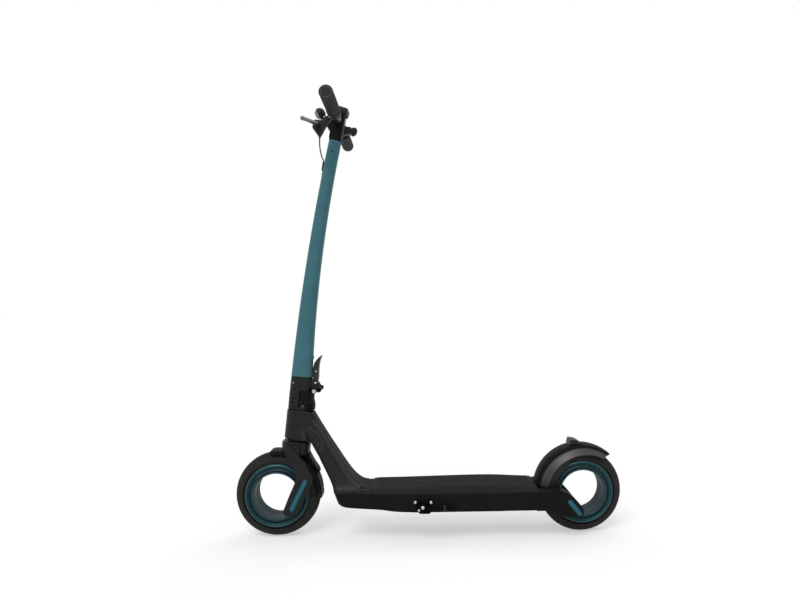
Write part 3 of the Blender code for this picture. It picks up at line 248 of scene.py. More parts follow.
def surface(name, colour, rough, *, grain, bump, metal=0.0, spec=0.5, tone=0.14, wear=None,
            wear_share=0.5, stretch=None, coat=0.0, patchy=0.08, speck=0.06, glass=0.0, dust=None,
            grazing=None):
    """A finish with grain, patchy colour and gloss, and rubbed edges.

    The tone, speck and patchy values say how far the colour and the gloss stray. Grazing tints what
    is mirrored at a low angle.
    """
    made = bpy.data.materials.new(name)
    made.use_nodes = True
    tree = made.node_tree
    shader = tree.nodes["Principled BSDF"]
    coords = node(tree, "ShaderNodeTexCoord").outputs["Object"]
    broad = noise(tree, coords, 21.0, 4.0)
    fine = noise(tree, coords, grain, 2.0, stretch)
    cloud = map_range(tree, broad, 0.3, 0.7, 0.0, 1.0)
    tint = mix_colour(tree, cloud, scaled(colour, 1 - tone), scaled(colour, 1 + tone))
    grainy = map_range(tree, fine, 0.35, 0.65, 1 - speck, 1 + speck)
    brighten = node(tree, "ShaderNodeVectorMath", operation="SCALE")
    tree.links.new(tint, brighten.inputs[0])
    tree.links.new(grainy, brighten.inputs["Scale"])
    tint = brighten.outputs[0]
    gloss = map_range(tree, broad, 0.3, 0.7, rough - patchy / 2, rough + patchy / 2)
    gloss = math_node(tree, "ADD", gloss, map_range(tree, fine, 0.3, 0.7, -0.03, 0.03))
    if dust:
        film = map_range(tree, noise(tree, coords, 64.0, 6.0, None, 0.7), 0.50, 0.72, 0.0, 0.6)
        tint = mix_colour(tree, film, tint, dust)
        gloss = math_node(tree, "ADD", gloss, math_node(tree, "MULTIPLY", film, 0.12))
    if wear:
        tint = mix_colour(tree, rubbed_edges(tree, coords, wear_share), tint, wear)
    tree.links.new(tint, shader.inputs["Base Color"])
    tree.links.new(gloss, shader.inputs["Roughness"])
    for socket, value in (("Metallic", metal), ("Specular IOR Level", spec),
                          ("Coat Weight", coat), ("Coat Roughness", 0.18),
                          ("Transmission Weight", glass)):
        shader.inputs[socket].default_value = value
    if grazing:
        shader.inputs["Specular Tint"].default_value = (*grazing, 1.0)
    relief = node(tree, "ShaderNodeBump")
    relief.inputs["Strength"].default_value = bump
    relief.inputs["Distance"].default_value = 0.0006
    tree.links.new(fine, relief.inputs["Height"])
    tree.links.new(relief.outputs[0], shader.inputs["Normal"])
    made.diffuse_color = (*colour, 1.0)
    return made


FINISH = {
    "paint": surface("satin_black_paint", (0.0088, 0.0088, 0.0092), 0.44, spec=0.17, grain=1500,
                     bump=0.10, wear=(0.060, 0.060, 0.062), wear_share=0.45),
    "body": surface("matt_black_paint", (0.0068, 0.0068, 0.0070), 0.60, spec=0.10, grain=1500,
                    bump=0.12, grazing=(0.5, 0.5, 0.5), wear=(0.032, 0.032, 0.033), wear_share=0.4),
    "plastic": surface("moulded_black_plastic", (0.0092, 0.0092, 0.0095), 0.50, spec=0.20,
                       grain=1900, bump=0.22, wear=(0.045, 0.045, 0.047), wear_share=0.5),
    "dark_metal": surface("black_anodised_metal", (0.0150, 0.0150, 0.0160), 0.34, metal=0.35,
                          spec=0.4, grain=1200, bump=0.08, wear=(0.20, 0.20, 0.21)),
    "lever": surface("satin_grey_lever", (0.150, 0.150, 0.153), 0.30, metal=0.7, spec=0.5,
                     grain=1500, bump=0.05, wear=(0.26, 0.26, 0.27)),
    "mat": surface("deck_rubber", (0.0098, 0.0098, 0.0100), 0.80, spec=0.14, grain=1300,
                   bump=0.35, wear=(0.026, 0.026, 0.026), tone=0.2, dust=(0.020, 0.020, 0.019)),
    "rubber": surface("grip_rubber", (0.0130, 0.0130, 0.0133), 0.70, spec=0.26, grain=2200,
                      bump=0.30, wear=(0.036, 0.036, 0.036), dust=(0.028, 0.027, 0.026)),
    "tyre": surface("tyre_rubber", (0.0140, 0.0131, 0.0127), 0.76, spec=0.18, grain=1700,
                    bump=0.28, tone=0.2, wear=(0.040, 0.037, 0.035),
                    dust=(0.026, 0.024, 0.022)),
    "teal": surface("teal_satin_paint", (0.047, 0.132, 0.155), 0.48, metal=0.06, spec=0.10,
                    tone=0.07, grain=3200, bump=0.05, speck=0.16, grazing=(0.30, 0.38, 0.40),
                    wear=(0.22, 0.33, 0.35), wear_share=0.4),
    "ring": surface("ring_teal_paint", (0.016, 0.066, 0.078), 0.36, metal=0.45, spec=0.25,
                    tone=0.12, grain=2400, bump=0.06, speck=0.14, wear=(0.20, 0.28, 0.30)),
    "sleeve": surface("sleeve_slate_paint", (0.009, 0.026, 0.031), 0.46, metal=0.30, spec=0.16,
                      tone=0.14, grain=2400, bump=0.08, wear=(0.10, 0.14, 0.15),
                      grazing=(0.62, 0.72, 0.74)),
    # Black steel for real parts; also the painted shade on the neck's back and in the hinge block's
    # grooves
    "black": surface("black_steel_and_painted_shade", (0.0020, 0.0020, 0.0021), 0.55, spec=0.06, grain=1300,
                     bump=0.10, wear=(0.020, 0.020, 0.021), wear_share=0.4,
                     grazing=(0.5, 0.5, 0.5)),
    # A lighter black than the frame's: painted highlight on the rear fender's sides; its gloss is
    # real
    "flare": surface("satin_black_painted_sheen", (0.0205, 0.0205, 0.0209), 0.38, spec=0.42, grain=1900,
                     bump=0.14, wear=(0.060, 0.060, 0.062), wear_share=0.5),
    # A lighter black: painted highlight on the bands beside the neck's back
    "painted_light_band": surface("satin_black_painted_light", (0.0180, 0.0180, 0.0184), 0.46, spec=0.24,
                           grain=1500, bump=0.10),
    # Darker teal: partly painted shade on the rings' recessed step; also the stripes' borders
    "ring_mid": surface("teal_step_shade_and_border", (0.010, 0.042, 0.050), 0.42, metal=0.35, spec=0.2,
                        tone=0.14, grain=2400, bump=0.07),
    "ring_dark": surface("ring_groove_paint", (0.006, 0.024, 0.030), 0.50, metal=0.2, spec=0.3,
                         tone=0.15, grain=2400, bump=0.08),
    "stripe": surface("stripe_teal_enamel", (0.007, 0.098, 0.128), 0.40, metal=0.1, spec=0.25,
                      tone=0.08, grain=1800, bump=0.08, wear=(0.20, 0.36, 0.40)),
    "steel": surface("brushed_steel", (0.56, 0.56, 0.57), 0.27, metal=1.0, tone=0.08,
                     grain=260, bump=0.06, stretch=(1.0, 0.06, 1.0), wear=(0.75, 0.75, 0.76)),
    "bolt": surface("bolt_zinc", (0.50, 0.50, 0.50), 0.30, metal=1.0, tone=0.16, grain=900,
                    bump=0.14, wear=(0.70, 0.70, 0.70)),
    "dark_steel": surface("oiled_dark_steel", (0.075, 0.075, 0.080), 0.36, metal=0.9, tone=0.2,
                          grain=1100, bump=0.16, wear=(0.30, 0.30, 0.31)),
    "copper": surface("copper_windings", (0.42, 0.19, 0.09), 0.38, metal=0.95, tone=0.25,
                      grain=420, bump=0.5, stretch=(1.0, 4.0, 1.0)),
    "wrap": surface("battery_shrink_wrap", (0.018, 0.050, 0.135), 0.38, spec=0.5, tone=0.2,
                    grain=160, bump=0.4),
    "case": surface("cast_controller_case", (0.17, 0.17, 0.175), 0.50, metal=0.85, tone=0.15,
                    grain=1300, bump=0.3, wear=(0.42, 0.42, 0.43)),
    "lens": surface("frosted_lens", (0.20, 0.21, 0.22), 0.14, spec=0.5, tone=0.03, grain=500,
                    bump=0.02, patchy=0.02, speck=0.02, glass=0.30),
    "bowl": surface("lamp_reflector", (0.80, 0.80, 0.80), 0.16, metal=1.0, tone=0.04,
                    grain=700, bump=0.05, patchy=0.05),
    "red": surface("smoked_red_lens", (0.030, 0.002, 0.002), 0.14, spec=0.5, tone=0.12, grain=900,
                   bump=0.05, patchy=0.04, glass=0.20),
    "screen": surface("display_glass", (0.0060, 0.0062, 0.0070), 0.09, spec=0.5, tone=0.05,
                      grain=700, bump=0.015, patchy=0.04, speck=0.02, coat=0.4),
    "mark": surface("printed_mark", (0.42, 0.42, 0.42), 0.50, spec=0.3, tone=0.06, grain=1500,
                    bump=0.05),
}


# Mesh tools

# Each side's name and the sign of its y
SIDES = (("left", -1), ("right", 1))
SIGNS = (-1, 1)


def new_object(name, build, material=None):
    """An object from a bmesh, with its faces pointing out."""
    bmesh.ops.recalc_face_normals(build, faces=build.faces)
    mesh = bpy.data.meshes.new(name)
    build.to_mesh(mesh)
    build.free()
    if material:
        mesh.materials.append(material)
    obj = bpy.data.objects.new(name, mesh)
    bpy.context.scene.collection.objects.link(obj)
    return obj


def settle(obj, sharp=36):
    """Applies the piece's modifiers and shades it smooth up to its sharp edges."""
    bpy.context.view_layer.update()
    graph = bpy.context.evaluated_depsgraph_get()
    mesh = bpy.data.meshes.new_from_object(obj.evaluated_get(graph))
    old = obj.data
    obj.modifiers.clear()
    obj.data = mesh
    bpy.data.meshes.remove(old)
    mesh.shade_smooth()
    mesh.set_sharp_from_angle(angle=math.radians(sharp))
    return obj


def carve(obj, tools, operation="DIFFERENCE"):
    """Cuts the tools away from the piece or joins them to it, and removes them."""
    for tool in tools:
        step = obj.modifiers.new("carve", "BOOLEAN")
        step.operation = operation
        step.solver = "EXACT"
        step.object = tool
    settle(obj)
    for tool in tools:
        bpy.data.objects.remove(tool)
    return obj


def soften(obj, width, segments, angle):
    """Rounds the piece's edges and keeps its flat faces flat."""
    step = obj.modifiers.new("soften", "BEVEL")
    step.width = width
    step.segments = segments
    step.limit_method = "ANGLE"
    step.angle_limit = math.radians(angle)
    step.harden_normals = False
    flat = obj.modifiers.new("flat", "WEIGHTED_NORMAL")
    flat.keep_sharp = True
    flat.weight = 80
    return obj


def piece(name, build, finish, body, replaces=(), cut=(), join=(), bevel=0.0, segments=2,
          angle=32, sharp=36):
    """One finished piece: cut, joined, softened, and riding on its body."""
    obj = new_object(name, build, FINISH[finish])
    if join:
        carve(obj, join, "UNION")
    if cut:
        carve(obj, cut)
    if bevel:
        soften(obj, bevel, segments, angle)
    settle(obj, sharp)
    return place(obj, body, replaces)


def moulded(name, build, radius, join, cut, body, replaces):
    """A plastic housing that is rounded first, and then joined and cut."""
    obj = new_object(name, build, FINISH["plastic"])
    settle(soften(obj, radius, 3, 40))
    carve(obj, join, "UNION")
    carve(obj, cut)
    settle(obj)
    return place(obj, body, replaces)


def turned(name, at, profile, count, finish, body, replaces=(), closed=True, sharp=30):
    """A piece turned round a frame's Z."""
    return piece(name, lathe(at, profile, count, closed), finish, body, replaces,
                 sharp=sharp)


def place(obj, body, replaces):
    """The piece rides on a body and stands for CAD nodes."""
    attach(obj, body)
    if replaces:
        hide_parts(*replaces)
    return obj


def tool(build):
    """A helper solid for a cut or a join."""
    return new_object("tool", build)


def skin(loops, closed=False):
    """A bmesh skin through loops of equally many points, capped unless it closes on itself."""
    build = bmesh.new()
    rows = [[build.verts.new(point) for point in loop] for loop in loops]
    count = len(rows[0])
    pairs = list(zip(rows, rows[1:]))
    if closed:
        pairs.append((rows[-1], rows[0]))
    for low, high in pairs:
        for i in range(count):
            j = (i + 1) % count
            build.faces.new((low[i], low[j], high[j], high[i]))
    if not closed:
        build.faces.new(rows[0])
        build.faces.new(rows[-1])
    return build


def prism(outline, low, high):
    """An outline of (x, z) points carried from y low to y high."""
    return skin([[Vector((x, y, z)) for x, z in outline] for y in (low, high)])


def slab(outline, low, high):
    """An outline of (x, y) points carried from z low to z high."""
    return skin([[Vector((x, y, z)) for x, y in outline] for z in (low, high)])


def wheel_frame(x, y=0.0, z=TYRE_R):
    """A frame whose Z lies along +Y and whose X is the world's X."""
    return Matrix.Translation((x, y, z)) @ Matrix.Rotation(-math.pi / 2, 4, "X")


def axis_frame(origin, axis):
    """A frame at origin whose Z lies along axis."""
    turn = Vector(axis).normalized().to_track_quat("Z", "Y").to_matrix().to_4x4()
    return Matrix.Translation(Vector(origin)) @ turn


def lathe(place_at, profile, count, closed=True):
    """A turned solid: (height, radius) points, as a ring, or capped at both ends."""
    loops = []
    for height, radius in profile:
        loop = []
        for i in range(count):
            angle = 2 * math.pi * i / count
            point = Vector((radius * math.cos(angle), radius * math.sin(angle), height))
            loop.append(place_at @ point)
        loops.append(loop)
    return skin(loops, closed)


def rod(place_at, low, high, radius, count):
    """A plain round bar along the frame's Z."""
    return lathe(place_at, [(low, radius), (high, radius)], count, closed=False)


def screw_head(place_at, radius, height):
    """A button screw head with a hexagon socket half as wide as the head."""
    build = lathe(place_at, [
        (-0.0006, 0.94 * radius), (0.0, radius), (0.35 * height, radius),
        (0.75 * height, 0.86 * radius), (height, 0.62 * radius),
    ], 28, closed=False)
    head = tool(build)
    hole = tool(rod(place_at, 0.35 * height, height + 0.002, 0.5 * radius, 6))
    carve(head, [hole])
    return head


def merge(name, objects, finish, body):
    """Several small solids as one piece."""
    build = bmesh.new()
    for obj in objects:
        build.from_mesh(obj.data)
        bpy.data.objects.remove(obj)
    obj = settle(new_object(name, build, FINISH[finish]))
    return place(obj, body, ())


def screws(name, spots, body, finish="bolt"):
    """Screw heads as one piece, each given by its place, axis, radius and height."""
    heads = [screw_head(axis_frame(origin, axis), radius, height)
             for origin, axis, radius, height in spots]
    return merge(name, heads, finish, body)


def two_tone(obj, finish, test):
    """Puts a second finish on the faces whose normal and middle pass a test."""
    obj.data.materials.append(FINISH[finish])
    last = len(obj.data.materials) - 1
    for face in obj.data.polygons:
        if test(face.normal, face.center):
            face.material_index = last


def fillet(points, radius, steps, closed=True):
    """2-D points with rounded corners. A point may carry its own radius."""
    out = []
    count = len(points)
    for i, point in enumerate(points):
        corner = Vector(point[:2])
        if not closed and i in (0, count - 1):
            out.append(tuple(corner))
            continue
        before = Vector(points[i - 1][:2]) - corner
        after = Vector(points[(i + 1) % count][:2]) - corner
        size = point[2] if len(point) > 2 else radius
        angle = before.angle(after)
        if size <= 0 or angle > math.radians(174):
            out.append(tuple(corner))
            continue
        reach = min(size / math.tan(angle / 2), 0.48 * before.length, 0.48 * after.length)
        start = corner + before.normalized() * reach
        end = corner + after.normalized() * reach
        for k in range(steps + 1):
            t = k / steps
            here = start * (1 - t) ** 2 + corner * (2 * t * (1 - t)) + end * t * t
            out.append(tuple(here))
    return out


def spline(rows, steps):
    """A smooth line through rows of numbers, such as points or slices."""
    rows = [Vector(row) for row in rows]
    last = len(rows) - 1
    out = []
    for i in range(last):
        a, b, c, d = (rows[min(max(i + k, 0), last)] for k in (-1, 0, 1, 2))
        for k in range(steps):
            t = k / steps
            square = (2 * a - 5 * b + 4 * c - d) * t * t
            cube = (3 * b - a - 3 * c + d) * t * t * t
            out.append(tuple(0.5 * (2 * b + (c - a) * t + square + cube)))
    out.append(tuple(rows[-1]))
    return out


def box_loop(half_u, half_v, corner, steps, middle=(0.0, 0.0)):
    """A rounded rectangle as (u, v) points."""
    points = []
    for quarter, (su, sv) in enumerate(((1, 1), (-1, 1), (-1, -1), (1, -1))):
        for i in range(steps + 1):
            angle = math.pi / 2 * (quarter + i / steps)
            u = middle[0] + su * (half_u - corner) + corner * math.cos(angle)
            v = middle[1] + sv * (half_v - corner) + corner * math.sin(angle)
            points.append((u, v))
    return points


def span_loop(low_u, high_u, half_v, corner, steps):
    """A rounded rectangle from low_u to high_u, as wide as half_v each way."""
    half_u = (high_u - low_u) / 2
    corner = min(corner, 0.9 * half_u, 0.9 * half_v)
    return box_loop(half_u, half_v, corner, steps, middle=((low_u + high_u) / 2, 0.0))


def oval_loop(half_u, half_v):
    """A rounded oval between an ellipse and a box, as (u, v) points."""
    power = 2.6
    count = 64
    points = []
    for i in range(count):
        angle = 2 * math.pi * i / count
        c = math.cos(angle)
        s = math.sin(angle)
        u = half_u * math.copysign(abs(c) ** (2 / power), c)
        v = half_v * math.copysign(abs(s) ** (2 / power), s)
        points.append((u, v))
    return points


def column_loop(low, high, half, corner, height, steps):
    """A rounded rectangle square to the steering axis."""
    return [column(u, v, height) for u, v in span_loop(low, high, half, corner, steps)]


def column_block(backs, acrosses, heights):
    """A block square to the steering axis."""
    return skin([[column(u, v, h) for u, v in corners(backs, acrosses)] for h in heights])


def arc(centre, radius, start, end, steps):
    """(x, z) points on an arc, with its angles in degrees from +X towards +Z."""
    points = []
    for i in range(steps + 1):
        angle = math.radians(start + (end - start) * i / steps)
        points.append((centre[0] + radius * math.cos(angle), centre[1] + radius * math.sin(angle)))
    return points


def corners(us, vs):
    """A rectangle's four corners, in order round it."""
    return [(us[0], vs[0]), (us[1], vs[0]), (us[1], vs[1]), (us[0], vs[1])]


def around(middle, half):
    """The two ends of a span round its middle."""
    return (middle - half, middle + half)


def handed(profile, sign):
    """A turned profile for one side: as it is for the right, and mirrored for the left."""
    return [(sign * y, r) for y, r in profile]


def doubled(half):
    """Half a turned profile, followed by its mirror image."""
    return half + [(-y, r) for y, r in reversed(half)]


def level(at, flat, z):
    """A loop of (u, v) points at a height of a frame."""
    return [at @ Vector((u, v, z)) for u, v in flat]


def bar_points(*points):
    """(x, z) places given from the handlebar's axis. A point may carry its own radius."""
    return [(BAR_X + dx, BAR_HEIGHT + dz, *radius) for dx, dz, *radius in points]


def column_point(back, height):
    """The (x, z) place of a point in the column's middle plane."""
    spot = column(back, 0, height)
    return (spot.x, spot.z)


def spread(sign, inner, outer):
    """The low and high y of a slab between two distances from the middle plane."""
    return (-outer, -inner) if sign < 0 else (inner, outer)


def stadium(middle, tilt, length, width):
    """A long rounded pad's outline as (x, z) points."""
    steps = 10
    half = width / 2
    run = length / 2 - half
    points = []
    for start, shift in ((-90, run), (90, -run)):
        for i in range(steps + 1):
            angle = math.radians(start + 180 * i / steps)
            points.append((shift + half * math.cos(angle), half * math.sin(angle)))
    c = math.cos(math.radians(tilt))
    s = math.sin(math.radians(tilt))
    return [(middle[0] + u * c - v * s, middle[1] + u * s + v * c) for u, v in points]


def smoothstep(low, high, value):
    """0 below low, 1 above high, and eased between."""
    t = min(1.0, max(0.0, (value - low) / (high - low)))
    return t * t * (3 - 2 * t)


# The brake cable's route, from the lever's housing in a loop to the gland on the stem

def brake_cable():
    """The one free cord. Its points are the part's own."""
    top = GLAND_MIDDLE + GLAND_HALF
    end = Vector((stem_front(top) - SEAT - 0.45 * GLAND_PROUD, 0.0, top + SEAT + 0.0001))
    start = Vector((BAR_X - 0.0360, -0.0780, BAR_HEIGHT - 0.0595))
    route = [
        start,
        start + Vector((-0.0001, 0.0002, -0.0060)),
        start + Vector((-0.0003, 0.0015, -0.0134)),
        start + Vector((-0.0009, 0.0080, -0.0228)),
        end + Vector((0.0001, -0.0540, 0.0144)),
        end + Vector((-0.0011, -0.0320, 0.0093)),
        end + Vector((-0.0016, -0.0120, 0.0070)),
        end + Vector((-0.0003, -0.0020, 0.0050)),
    ]
    points = [Vector(p) for p in spline(route, 4)]
    points += [end + Vector((0.0, 0.0, 0.0020)), end]
    line = bpy.data.curves.new("brake_cable_run", "CURVE")
    line.dimensions = "3D"
    line.bevel_depth = CABLE_R
    line.bevel_resolution = 4
    line.use_fill_caps = True
    run = line.splines.new("POLY")
    run.points.add(len(points) - 1)
    for knot, point in zip(run.points, points):
        knot.co = (*point, 1.0)
    line.materials.append(FINISH["plastic"])
    obj = bpy.data.objects.new("brake_cable_run", line)
    bpy.context.scene.collection.objects.link(obj)
    place(obj, "stem", ["brake_cable"])


brake_cable()


# Wheels

# The tyre's skin is an oval round TYRE_CORE. The angles below run over it, in degrees, from the
# left bead to the crown, and closer together where the ribs, slots and grooves are.
TYRE_CORE = 0.0840
TYRE_HALF = 0.0265
TYRE_DEEP = 0.0240
GROOVES = (71.5, 72.9, 74.3, 88.7, 90.0)
GROOVE_DEPTH = 0.0013
SLOTS = (37.0, 64.0)
SLOT_DEPTH = 0.0014
RIBS = (12.0, 31.0)
RIB_HEIGHT = 0.0006
TREAD_TWIST = 0.10
TREAD_PITCHES = 40
PITCH_STEPS = (0.0, 0.3, 1.5, 1.8, 3.35, 4.9, 6.45)
SIDEWALL = (4, 8, 10, 11, 12, 13, 14, 15.5, 18, 21, 24, 27, 28.5, 30, 31, 32, 33.5)
SHOULDER = (35.0, 37.0, 40.0, 43.5, 47.0, 50.5, 54.0, 57.0, 59.5, 62.0, 65.0)
CROWN = (68.0, 69.9, 71.5, 72.9, 74.3, 76.0, 79.0, 83.0, 87.2, 88.7, 90.0)


def tyre_point(degrees, slotted):
    """A point of the tyre's skin: its y and radius, with the tread and the sidewall's ribs."""
    lean = min(degrees, 180 - degrees)
    a = math.radians(degrees)
    y = -TYRE_HALF * math.cos(a)
    r = TYRE_CORE + TYRE_DEEP * math.sin(a)
    lift = 0.0
    if lean in GROOVES:
        lift = -GROOVE_DEPTH
    if slotted and SLOTS[0] < lean < SLOTS[1]:
        lift = -SLOT_DEPTH
    for rib in RIBS:
        lift += RIB_HEIGHT * (1 - smoothstep(0.8, 2.2, abs(lean - rib)))
    return (y - lift * math.cos(a), min(r + lift * math.sin(a), TYRE_R))


def tyre(end, x):
    """The tyre with its tread blocks, shoulder slots and sidewall ribs."""
    half = SIDEWALL + SHOULDER + CROWN
    angles = half + tuple(180 - a for a in reversed(half[:-1]))
    bead = doubled([(0.0215, TYRE_CORE), (0.0167, TYRE_CORE), (0.0167, 0.0810)])
    at = wheel_frame(x)
    loops = []
    for pitch in range(TREAD_PITCHES):
        for step, offset in enumerate(PITCH_STEPS):
            base = 2 * math.pi * (pitch + offset / 8) / TREAD_PITCHES
            loop = []
            for a in angles:
                lean = min(a, 180 - a)
                turn = base + TREAD_TWIST * smoothstep(36.0, 90.0, lean)
                y, r = tyre_point(a, step in (1, 2))
                loop.append(at @ Vector((r * math.cos(turn), r * math.sin(turn), y)))
            for y, r in bead:
                loop.append(at @ Vector((r * math.cos(base), r * math.sin(base), y)))
            loops.append(loop)
    piece(f"{end}_tyre_tread", skin(loops, closed=True), "tyre", f"{end}_wheel",
          [f"{end}_tyre"], sharp=40)


def wheel(end, x):
    """One open-centre wheel: what turns, and the sleeve that it turns round."""
    at = wheel_frame(x)
    body = f"{end}_wheel"
    fixed = "fork" if end == "front" else "frame"
    tyre(end, x)
    rim = doubled([(-0.0210, ROTOR_R), (-0.0210, FLANGE_R), (-0.0170, FLANGE_R),
                   (-0.0170, RIM_R)])
    turned(f"{end}_rim_barrel", at, fillet(rim, 0.0007, 3), 128, "dark_metal", body,
           [f"{end}_rim"])
    for side, sign in SIDES:
        side_rings(end, side, sign, at, body, fixed)
    sleeve_tube(end, at, fixed)
    for side, sign in SIDES:
        edge = [(SLEEVE_HALF - 0.0015, 0.0590), (SLEEVE_HALF + 0.0002, 0.0592),
                (SLEEVE_HALF + 0.0002, 0.0606), (SLEEVE_HALF - 0.0015, 0.0608)]
        turned(f"{end}_sleeve_{side}_edge", at, handed(edge, sign), 144, "ring", fixed)
        lip = fillet([(0.0258, 0.0623), (0.0292, 0.0623), (0.0292, 0.0655), (0.0270, 0.0684),
                      (0.0258, 0.0684)], 0.0004, 3)
        turned(f"{end}_seal_{side}", at, handed(lip, sign), 96, "ring_dark", fixed)


def side_rings(end, side, sign, at, body, fixed):
    """One side's teal band with the step inside it, and the bearing's race."""
    band = fillet([(0.0213, 0.0752), (0.0306, 0.0752), (0.0318, 0.0762), (0.0319, 0.0774),
                   (0.0310, 0.0786), (0.0302, 0.0797), (0.0213, 0.0797)], 0.0009, 5)
    turned(f"{end}_ring_{side}_band", at, handed(band, sign), 128, "ring", body,
           [f"{end}_ring_{side}"])
    # The step is a darker teal than the band: partly its real recess, partly painted shade
    step = fillet([(0.0213, 0.0697), (0.0268, 0.0697), (0.0276, 0.0702), (0.0278, 0.0712),
                   (0.0286, 0.0716), (0.0298, 0.0744), (0.0302, 0.0751), (0.0213, 0.0751)],
                  0.0004, 3)
    turned(f"{end}_ring_{side}_step", at, handed(step, sign), 128, "ring_mid", body)
    race = [(0.0195, 0.0623), (0.0255, 0.0623), (0.0255, 0.0640), (0.0249, 0.0643),
            (0.0249, 0.0668), (0.0255, 0.0671), (0.0255, 0.0689), (0.0195, 0.0689)]
    turned(f"{end}_bearing_{side}_race", at, handed(race, sign), 96, "dark_steel", fixed,
           [f"{end}_bearing_{side}"])


def sleeve_tube(end, at, fixed):
    """The sleeve, with shallow grooves round its bore."""
    half = SLEEVE_HALF
    sleeve = [(-half + 0.0010, BORE_R), (-half, BORE_R + 0.0010), (-half, SLEEVE_R - 0.0007)]
    sleeve += [(-half + 0.0007, SLEEVE_R), (half - 0.0007, SLEEVE_R), (half, SLEEVE_R - 0.0007)]
    sleeve += [(half, BORE_R + 0.0010), (half - 0.0010, BORE_R)]
    for middle in (0.0290, 0.0235, 0.0180, 0.0, -0.0180, -0.0235, -0.0290):
        wide = 0.0006 if middle else 0.0100
        deep = BORE_R + 0.0005
        sleeve += [(middle + wide, BORE_R), (middle + wide - 0.0003, deep)]
        sleeve += [(middle - wide + 0.0003, deep), (middle - wide, BORE_R)]
    turned(f"{end}_sleeve_tube", at, sleeve, 144, "sleeve", fixed, [f"{end}_sleeve"],
           sharp=28)


wheel("front", FRONT_X)
wheel("rear", REAR_X)


# Fork

LEG_FRONT = [(0.0240, 0.2415), (0.0235, 0.2240), (0.0285, 0.2090), (0.0400, 0.1910),
             (0.0500, 0.1690), (0.0510, 0.1540), (0.0460, 0.1380), (0.0360, 0.1150),
             (0.0250, 0.0870), (0.0200, 0.0720), (0.0230, 0.0640), (0.0330, 0.0600),
             (0.0460, 0.0625), (0.0560, 0.0705), (0.0700, 0.0960), (0.0850, 0.1250),
             (0.0930, 0.1440), (0.0930, 0.1600)]
LEG_BACK = [(0.0840, 0.1770), (0.0710, 0.1950), (0.0610, 0.2100), (0.0600, 0.2280),
            (0.0590, 0.2385)]
GUARD_BACK = [(-0.3205, 0.2300), (-0.3146, 0.2103), (-0.3093, 0.1997), (-0.3020, 0.1870),
              (-0.2947, 0.1764), (-0.2897, 0.1690)]
COVER_BACK = [(0.0845, 0.1772), (0.0752, 0.1952), (0.0625, 0.2108), (0.0503, 0.2235),
              (0.0445, 0.2335), (0.0430, 0.2400)]


def leg_shape(back):
    """A leg's smooth outline in (x, z) from its rear edge's points."""
    return spline([(FRONT_X + x, z) for x, z in LEG_FRONT + back], 5)


def shrink(outline, by):
    """The outline drawn in by a distance."""
    count = len(outline)
    area = sum(outline[i - 1][0] * outline[i][1] - outline[i][0] * outline[i - 1][1]
               for i in range(count))
    turn = 1 if area > 0 else -1
    moved = []
    for i, point in enumerate(outline):
        before = Vector(outline[i - 1])
        after = Vector(outline[(i + 1) % count])
        along = (after - before).normalized()
        moved.append((point[0] - turn * along.y * by, point[1] + turn * along.x * by))
    return moved


def guard(name, axle_x, section, sweep, steps, thick, body, replaces=(), lift=0.0,
          lag=0.0, taper=0.0, finish="plastic"):
    """A curved guard: half an outer section given a thickness and carried round an axle.

    Its end is cut aslant when the section's deeper points lag behind, and gets shallower with
    taper.
    """
    crest = section[0][1]
    half = spline(section, 5)
    outer = [(-y, r + lift) for y, r in reversed(half)] + [(y, r + lift) for y, r in half[1:]]
    inner = shrink_line(outer, thick)
    loop = outer + list(reversed(inner))
    loops = []
    for i in range(steps + 1):
        share = i / steps
        angle = math.radians(mix(sweep[0], sweep[1], share))
        ring = []
        shallow = 1 - taper * smoothstep(0.40, 1.10, share)
        for y, r in loop:
            r = crest - (crest - r) * shallow
            turn = angle + math.radians(lag) * share * max(0.0, crest - r) / 0.031
            ring.append(Vector((axle_x + r * math.cos(turn), y, TYRE_R + r * math.sin(turn))))
        loops.append(ring)
    return piece(name, skin(loops), finish, body, replaces, bevel=0.0006, segments=2,
                 angle=40, sharp=40)


def shrink_line(line, by):
    """An open line moved to its right by a distance."""
    moved = []
    for i, point in enumerate(line):
        before = Vector(line[max(i - 1, 0)])
        after = Vector(line[min(i + 1, len(line) - 1)])
        along = (after - before).normalized()
        moved.append((point[0] + along.y * by, point[1] - along.x * by))
    return moved


def stripe(name, body, sign, face, middle, tilt, length):
    """A raised enamel stripe in a border of the rings' middle teal."""
    for ending, longer, width, proud, finish, edge, steps in (
            ("_border", 0.0014, 0.0136, -0.0001, "ring_mid", 0.0003, 2),
            ("", -0.0026, 0.0090, 0.0008, "stripe", 0.0006, 3)):
        pad = stadium(middle, tilt, length + longer, width)
        piece(name + ending, prism(pad, *spread(sign, face - 0.0012, face + proud)), finish, body,
              bevel=edge, segments=steps)


CROWN_R = TYRE_R + 0.0071
CROWN_BACK = 0.0320
CROWN_CORNER = 0.024


